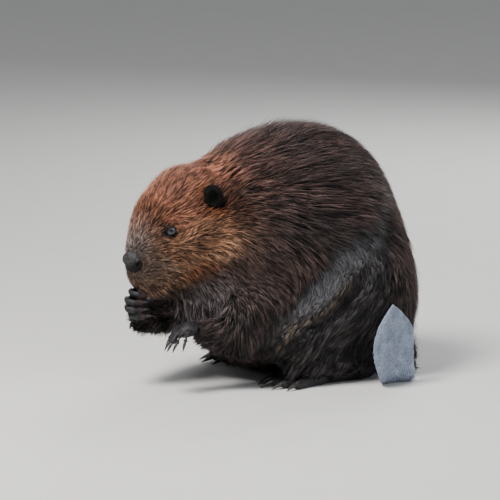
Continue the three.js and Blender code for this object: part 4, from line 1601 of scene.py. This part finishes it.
def make_eye(side):
    """A ball whose poles look along the gaze."""
    sign = SIDES[side]
    ball = bmesh.new()
    bmesh.ops.create_uvsphere(ball, u_segments=40, v_segments=24, radius=EYE_RADIUS * MM)
    turn = Vector(gaze(sign)).to_track_quat("Z", "Y").to_matrix()
    bmesh.ops.rotate(ball, verts=ball.verts, cent=(0, 0, 0), matrix=turn)
    bmesh.ops.translate(ball, verts=ball.verts, vec=spot(*eye_middle(sign)))
    mesh = bpy.data.meshes.new(f"beaver_eye_{side}")
    ball.to_mesh(mesh)
    ball.free()
    mesh.polygons.foreach_set("use_smooth", np.full(len(mesh.polygons), True))
    made = bpy.data.objects.new(f"beaver_eye_{side}", mesh)
    bpy.context.scene.collection.objects.link(made)
    paint(made, eye_material(side))
    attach(made, "root")
    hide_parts(f"eye_{side}")


def tube(path, radii, sides, flatten=1.0):
    """Points and faces of a closed tapering tube along a path."""
    heading = unit(np.gradient(path, axis=0))
    hint = np.array([0, 0, 1.0]) if abs(heading[0][2]) < 0.7 else np.array([0, 1.0, 0])
    points = []
    for p, h, radius in zip(path, heading, radii):
        across = unit(np.cross(h, hint))
        up = np.cross(across, h)
        for k in range(sides):
            a = ALL_ROUND * k / sides
            points.append(p + (across * math.cos(a) * flatten + up * math.sin(a)) * radius)
    points += [path[0], path[-1]]
    last = (len(path) - 1) * sides
    near, far = last + sides, last + sides + 1
    steps = [(k, (k + 1) % sides) for k in range(sides)]
    quads = [(i + k, i + n, i + sides + n, i + sides + k) for i in range(0, last, sides) for k, n in steps]
    tris = [(near, n, k) for k, n in steps] + [(far, last + k, last + n) for k, n in steps]
    return np.array(points), np.array(quads), np.array(tris)


def claw_core(name):
    """A claw solid's thick end, its thin end and its greatest radius."""
    cloud = np.array([v.co for v in NODES[name].data.vertices])
    centre = cloud.mean(axis=0)
    _, _, axes = np.linalg.svd(cloud - centre)
    axis = axes[0]
    along = (cloud - centre) @ axis
    off = np.linalg.norm(cloud - centre - np.outer(along, axis), axis=1)
    if off[along > 0].max() > off[along < 0].max():
        axis, along = -axis, -along
    start = centre + axis * (along.min() - CLAW_SUNK_MM * MM)
    return start, centre + axis * along.max(), axis, off.max()


def make_claw(name, material):
    """A curved claw over its solid: thick at the root, hooked down to a blunt point."""
    start, end, axis, thick = claw_core(name)
    hook = np.array([0, 0, -1.0]) if name.startswith("hind") else np.array([0.2, 0.1, -1.0])
    hook = unit(hook - axis * (hook @ axis))
    steps = np.linspace(0, 1, len(CLAW_RADII))
    path = [start + (end - start) * t + hook * (t**2 - 0.6 * t) * thick * 0.9 for t in steps]
    path = np.array(path)
    path[:, 2] = np.maximum(path[:, 2], LOWEST_MM["claw_path"] * MM)
    points, quads, tris = tube(path, thick * CLAW_RADII, CLAW_SIDES, 0.85)
    points[:, 2] = np.maximum(points[:, 2], LOWEST_MM["claw"] * MM)
    made = mesh_object(f"beaver_{name}", points, [quads, tris])
    paint(made, material)
    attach(made, "root")
    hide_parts(name)


def bristle(root, way, sag, length, steps, sides, thick, taper):
    """One stiff hair in millimetres: its points, faces and how far out along it each point is."""
    shares = np.linspace(0, 1, steps)
    path = np.array([root + (way * t + sag * t * t) * length * MM for t in shares])
    points, quads, tris = tube(path, thick * MM * (1 - taper * shares), sides)
    return points, quads, tris, np.concatenate([np.repeat(shares, sides), [0, 1]])


def lip_bristle(sign, rng):
    """A whisker on one side of the muzzle, swept back and down."""
    forward, up = rng.uniform(58, 80), rng.uniform(-32, -8)
    root = in_head(forward, sign * rng.uniform(15, 22), up)
    length = rng.uniform(18, 46)
    way = HEAD_TURN @ unit(np.array([rng.uniform(0.0, 0.7), sign * 1.0, rng.uniform(-0.7, 0.1)]))
    sag = HEAD_TURN @ np.array([0.5, 0, -0.6]) * 0.35
    return bristle(root, way, sag, length, steps=7, sides=4, thick=0.27, taper=0.8)


def chin_bristle(rng):
    """A long hair that hangs from the chin or the throat."""
    sign = rng.choice((-1, 1))
    root = in_head(rng.uniform(-12, 52), sign * rng.uniform(4, 30), rng.uniform(-72, -50))
    length = rng.uniform(22, 40)
    way = unit(np.array([rng.uniform(-0.1, 0.5), sign * rng.uniform(0, 0.4), -1.0]))
    sag = np.array([0.12, 0, -0.1])
    return bristle(root, way, sag, length, steps=6, sides=3, thick=0.3, taper=0.75)


def make_whiskers():
    """Stiff bristles on both sides of the muzzle and below the chin."""
    rng = np.random.default_rng(SEEDS["whiskers"])
    hairs = [lip_bristle(sign, rng) for sign in SIDES.values() for _ in range(LIP_BRISTLES)]
    hairs += [chin_bristle(rng) for _ in range(CHIN_BRISTLES)]
    starts = np.cumsum([0] + [len(points) for points, _, _, _ in hairs])
    points = np.concatenate([hair[0] for hair in hairs])
    quads = np.concatenate([hair[1] + start for hair, start in zip(hairs, starts)])
    tris = np.concatenate([hair[2] + start for hair, start in zip(hairs, starts)])
    reach = np.concatenate([hair[3] for hair in hairs])
    made = mesh_object("beaver_whiskers", points, [quads, tris], {"reach": reach})
    paint(made, whisker_material())
    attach(made, "root")


def scale_places(blade, normals, rng):
    """Points of the blade that stand a scale's gap apart, without its sharp rim."""
    tree = tree_of(blade.points)
    free = np.ones(len(blade.points), bool)
    chosen = []
    for i in rng.permutation(len(blade.points)):
        if free[i]:
            chosen.append(i)
            for _, j, _ in tree.find_range(blade.points[i], SCALE_GAP_MM * MM):
                free[j] = False
    chosen = np.array(chosen)
    rim = np.abs((blade.spread(normals, 14) * normals).sum(axis=1))
    return chosen[rim[chosen] > 0.93]


def make_scales(blade):
    """Small overlapping plates over the whole blade, each a low dome."""
    rng = np.random.default_rng(SEEDS["scales"])
    normals = blade.normals()
    chosen = scale_places(blade, normals, rng)
    centre, normal = blade.points[chosen], normals[chosen]
    along = laid_on(np.tile(np.array([-0.1, -0.1, 1.0]), (len(chosen), 1)), normal)
    across = np.cross(normal, along)
    size = rng.uniform(1.5, 2.1, len(chosen))[:, None] * MM
    points = []
    for height, share in SCALE_RINGS:
        for k in range(SCALE_SIDES):
            a = ALL_ROUND * (k + 0.5) / SCALE_SIDES
            ring = (across * math.cos(a) * 1.12 + along * math.sin(a)) * size * share
            points.append(centre + ring + normal * height * MM)
    points.append(centre + normal * SCALE_PEAK_MM * MM)
    points = np.stack(points, axis=1)
    points[..., 2] = np.maximum(points[..., 2], LOWEST_MM["scale"] * MM)
    first = (np.arange(len(chosen)) * points.shape[1])[:, None]
    top = len(SCALE_RINGS) - 1
    quads = np.concatenate([q for row in range(top) for q in band_faces(first, row, SCALE_SIDES)])
    tris = np.concatenate(cap_faces(first, top, SCALE_SIDES, points.shape[1] - 1))
    made = mesh_object("beaver_tail_scales", points.reshape(-1, 3), [quads, tris])
    paint(made, bpy.data.materials["tail_leather"])
    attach(made, "root")


# The studio.
AZIMUTH, ELEVATION = math.radians(-25), math.radians(10)
VIEW_MM = 658.0
VIEW_MIDDLE = (-52.6, 157.9)
STANDOFF_MM = 7000.0
SENSOR_MM = 36.0
FLOOR_REACH_M = 20

# The lights: the way each one lies from the animal (across, up and back toward the camera), its
# distance and its size in metres, its power and its colour.
LIGHTS = {
    "key": ((-0.55, 1.0, 0.75), 1.9, 0.7, 66, (1.0, 0.98, 0.95)),
    "fill": ((0.9, 0.35, 0.9), 2.4, 1.8, 22, (0.92, 0.96, 1.0)),
    "rim": ((0.4, 0.9, -1.0), 2.2, 1.2, 30, (1, 1, 1)),
}
SKY, SKY_POWER = (0.86, 0.88, 0.92, 1), 0.34
FLOOR_TONES = (0.60, 0.595, 0.58), (0.64, 0.635, 0.62)


def sight_axes():
    """The ways across the view, up it and back from it toward the camera."""
    back = np.array(
        [
            math.sin(AZIMUTH) * math.cos(ELEVATION),
            -math.cos(AZIMUTH) * math.cos(ELEVATION),
            math.sin(ELEVATION),
        ]
    )
    across = np.array([math.cos(AZIMUTH), math.sin(AZIMUTH), 0])
    return across, np.cross(back, across), back


def make_camera():
    across, up, back = sight_axes()
    middle = VIEW_MIDDLE[0] * across + VIEW_MIDDLE[1] * up
    lens = bpy.data.cameras.new("camera")
    lens.sensor_width = SENSOR_MM
    lens.lens = SENSOR_MM * STANDOFF_MM / VIEW_MM
    lens.clip_start, lens.clip_end = 0.1, 60
    camera = bpy.data.objects.new("camera", lens)
    camera.location = Vector(spot(*(middle + back * STANDOFF_MM)))
    camera.rotation_mode = "QUATERNION"
    camera.rotation_quaternion = Vector(-back).to_track_quat("-Z", "Y")
    bpy.context.scene.collection.objects.link(camera)
    bpy.context.scene.camera = camera


def make_light(name, way, distance, size, power, colour):
    """A square soft light that shines on the animal."""
    direction = unit(np.array(way, float) @ np.stack(sight_axes()))
    lamp = bpy.data.lights.new(name, "AREA")
    lamp.size, lamp.energy, lamp.color = size, power, colour
    made = bpy.data.objects.new(name, lamp)
    made.location = Vector(spot(0, 0, 150) + direction * distance)
    made.rotation_mode = "QUATERNION"
    made.rotation_quaternion = Vector(-direction).to_track_quat("-Z", "Y")
    bpy.context.scene.collection.objects.link(made)


def make_sky():
    world = bpy.data.worlds.new("studio")
    world.use_nodes = True
    background = world.node_tree.nodes["Background"]
    background.inputs["Color"].default_value = SKY
    background.inputs["Strength"].default_value = SKY_POWER
    bpy.context.scene.world = world


def make_floor():
    r = Recipe("studio_floor")
    colour = r.mix(r.noise(r.place(), 60, 3), *FLOOR_TONES)
    corners = np.array([[-1, -1, 0], [1, -1, 0], [1, 1, 0], [-1, 1, 0]], float) * FLOOR_REACH_M
    floor = mesh_object("studio_floor", corners, [np.array([[0, 1, 2, 3]])])
    paint(floor, r.finish(colour, 0.8))


def make_studio():
    make_camera()
    for name, settings in LIGHTS.items():
        make_light(name, *settings)
    make_sky()
    make_floor()


def main():
    make_studio()
    body, table, lie, owner, names = furred_body()
    ears, blade = make_skin(body, table)
    make_coat(body, table, lie, owner, names)
    fuzz = fuzz_material()
    for side in SIDES:
        make_ear_fuzz(side, ears[side], fuzz)
    for side in SIDES:
        make_eye(side)
    horn = claw_material()
    for name in sorted(NODES):
        if "_claw_" in name:
            make_claw(name, horn)
    make_whiskers()
    make_scales(blade)


main()
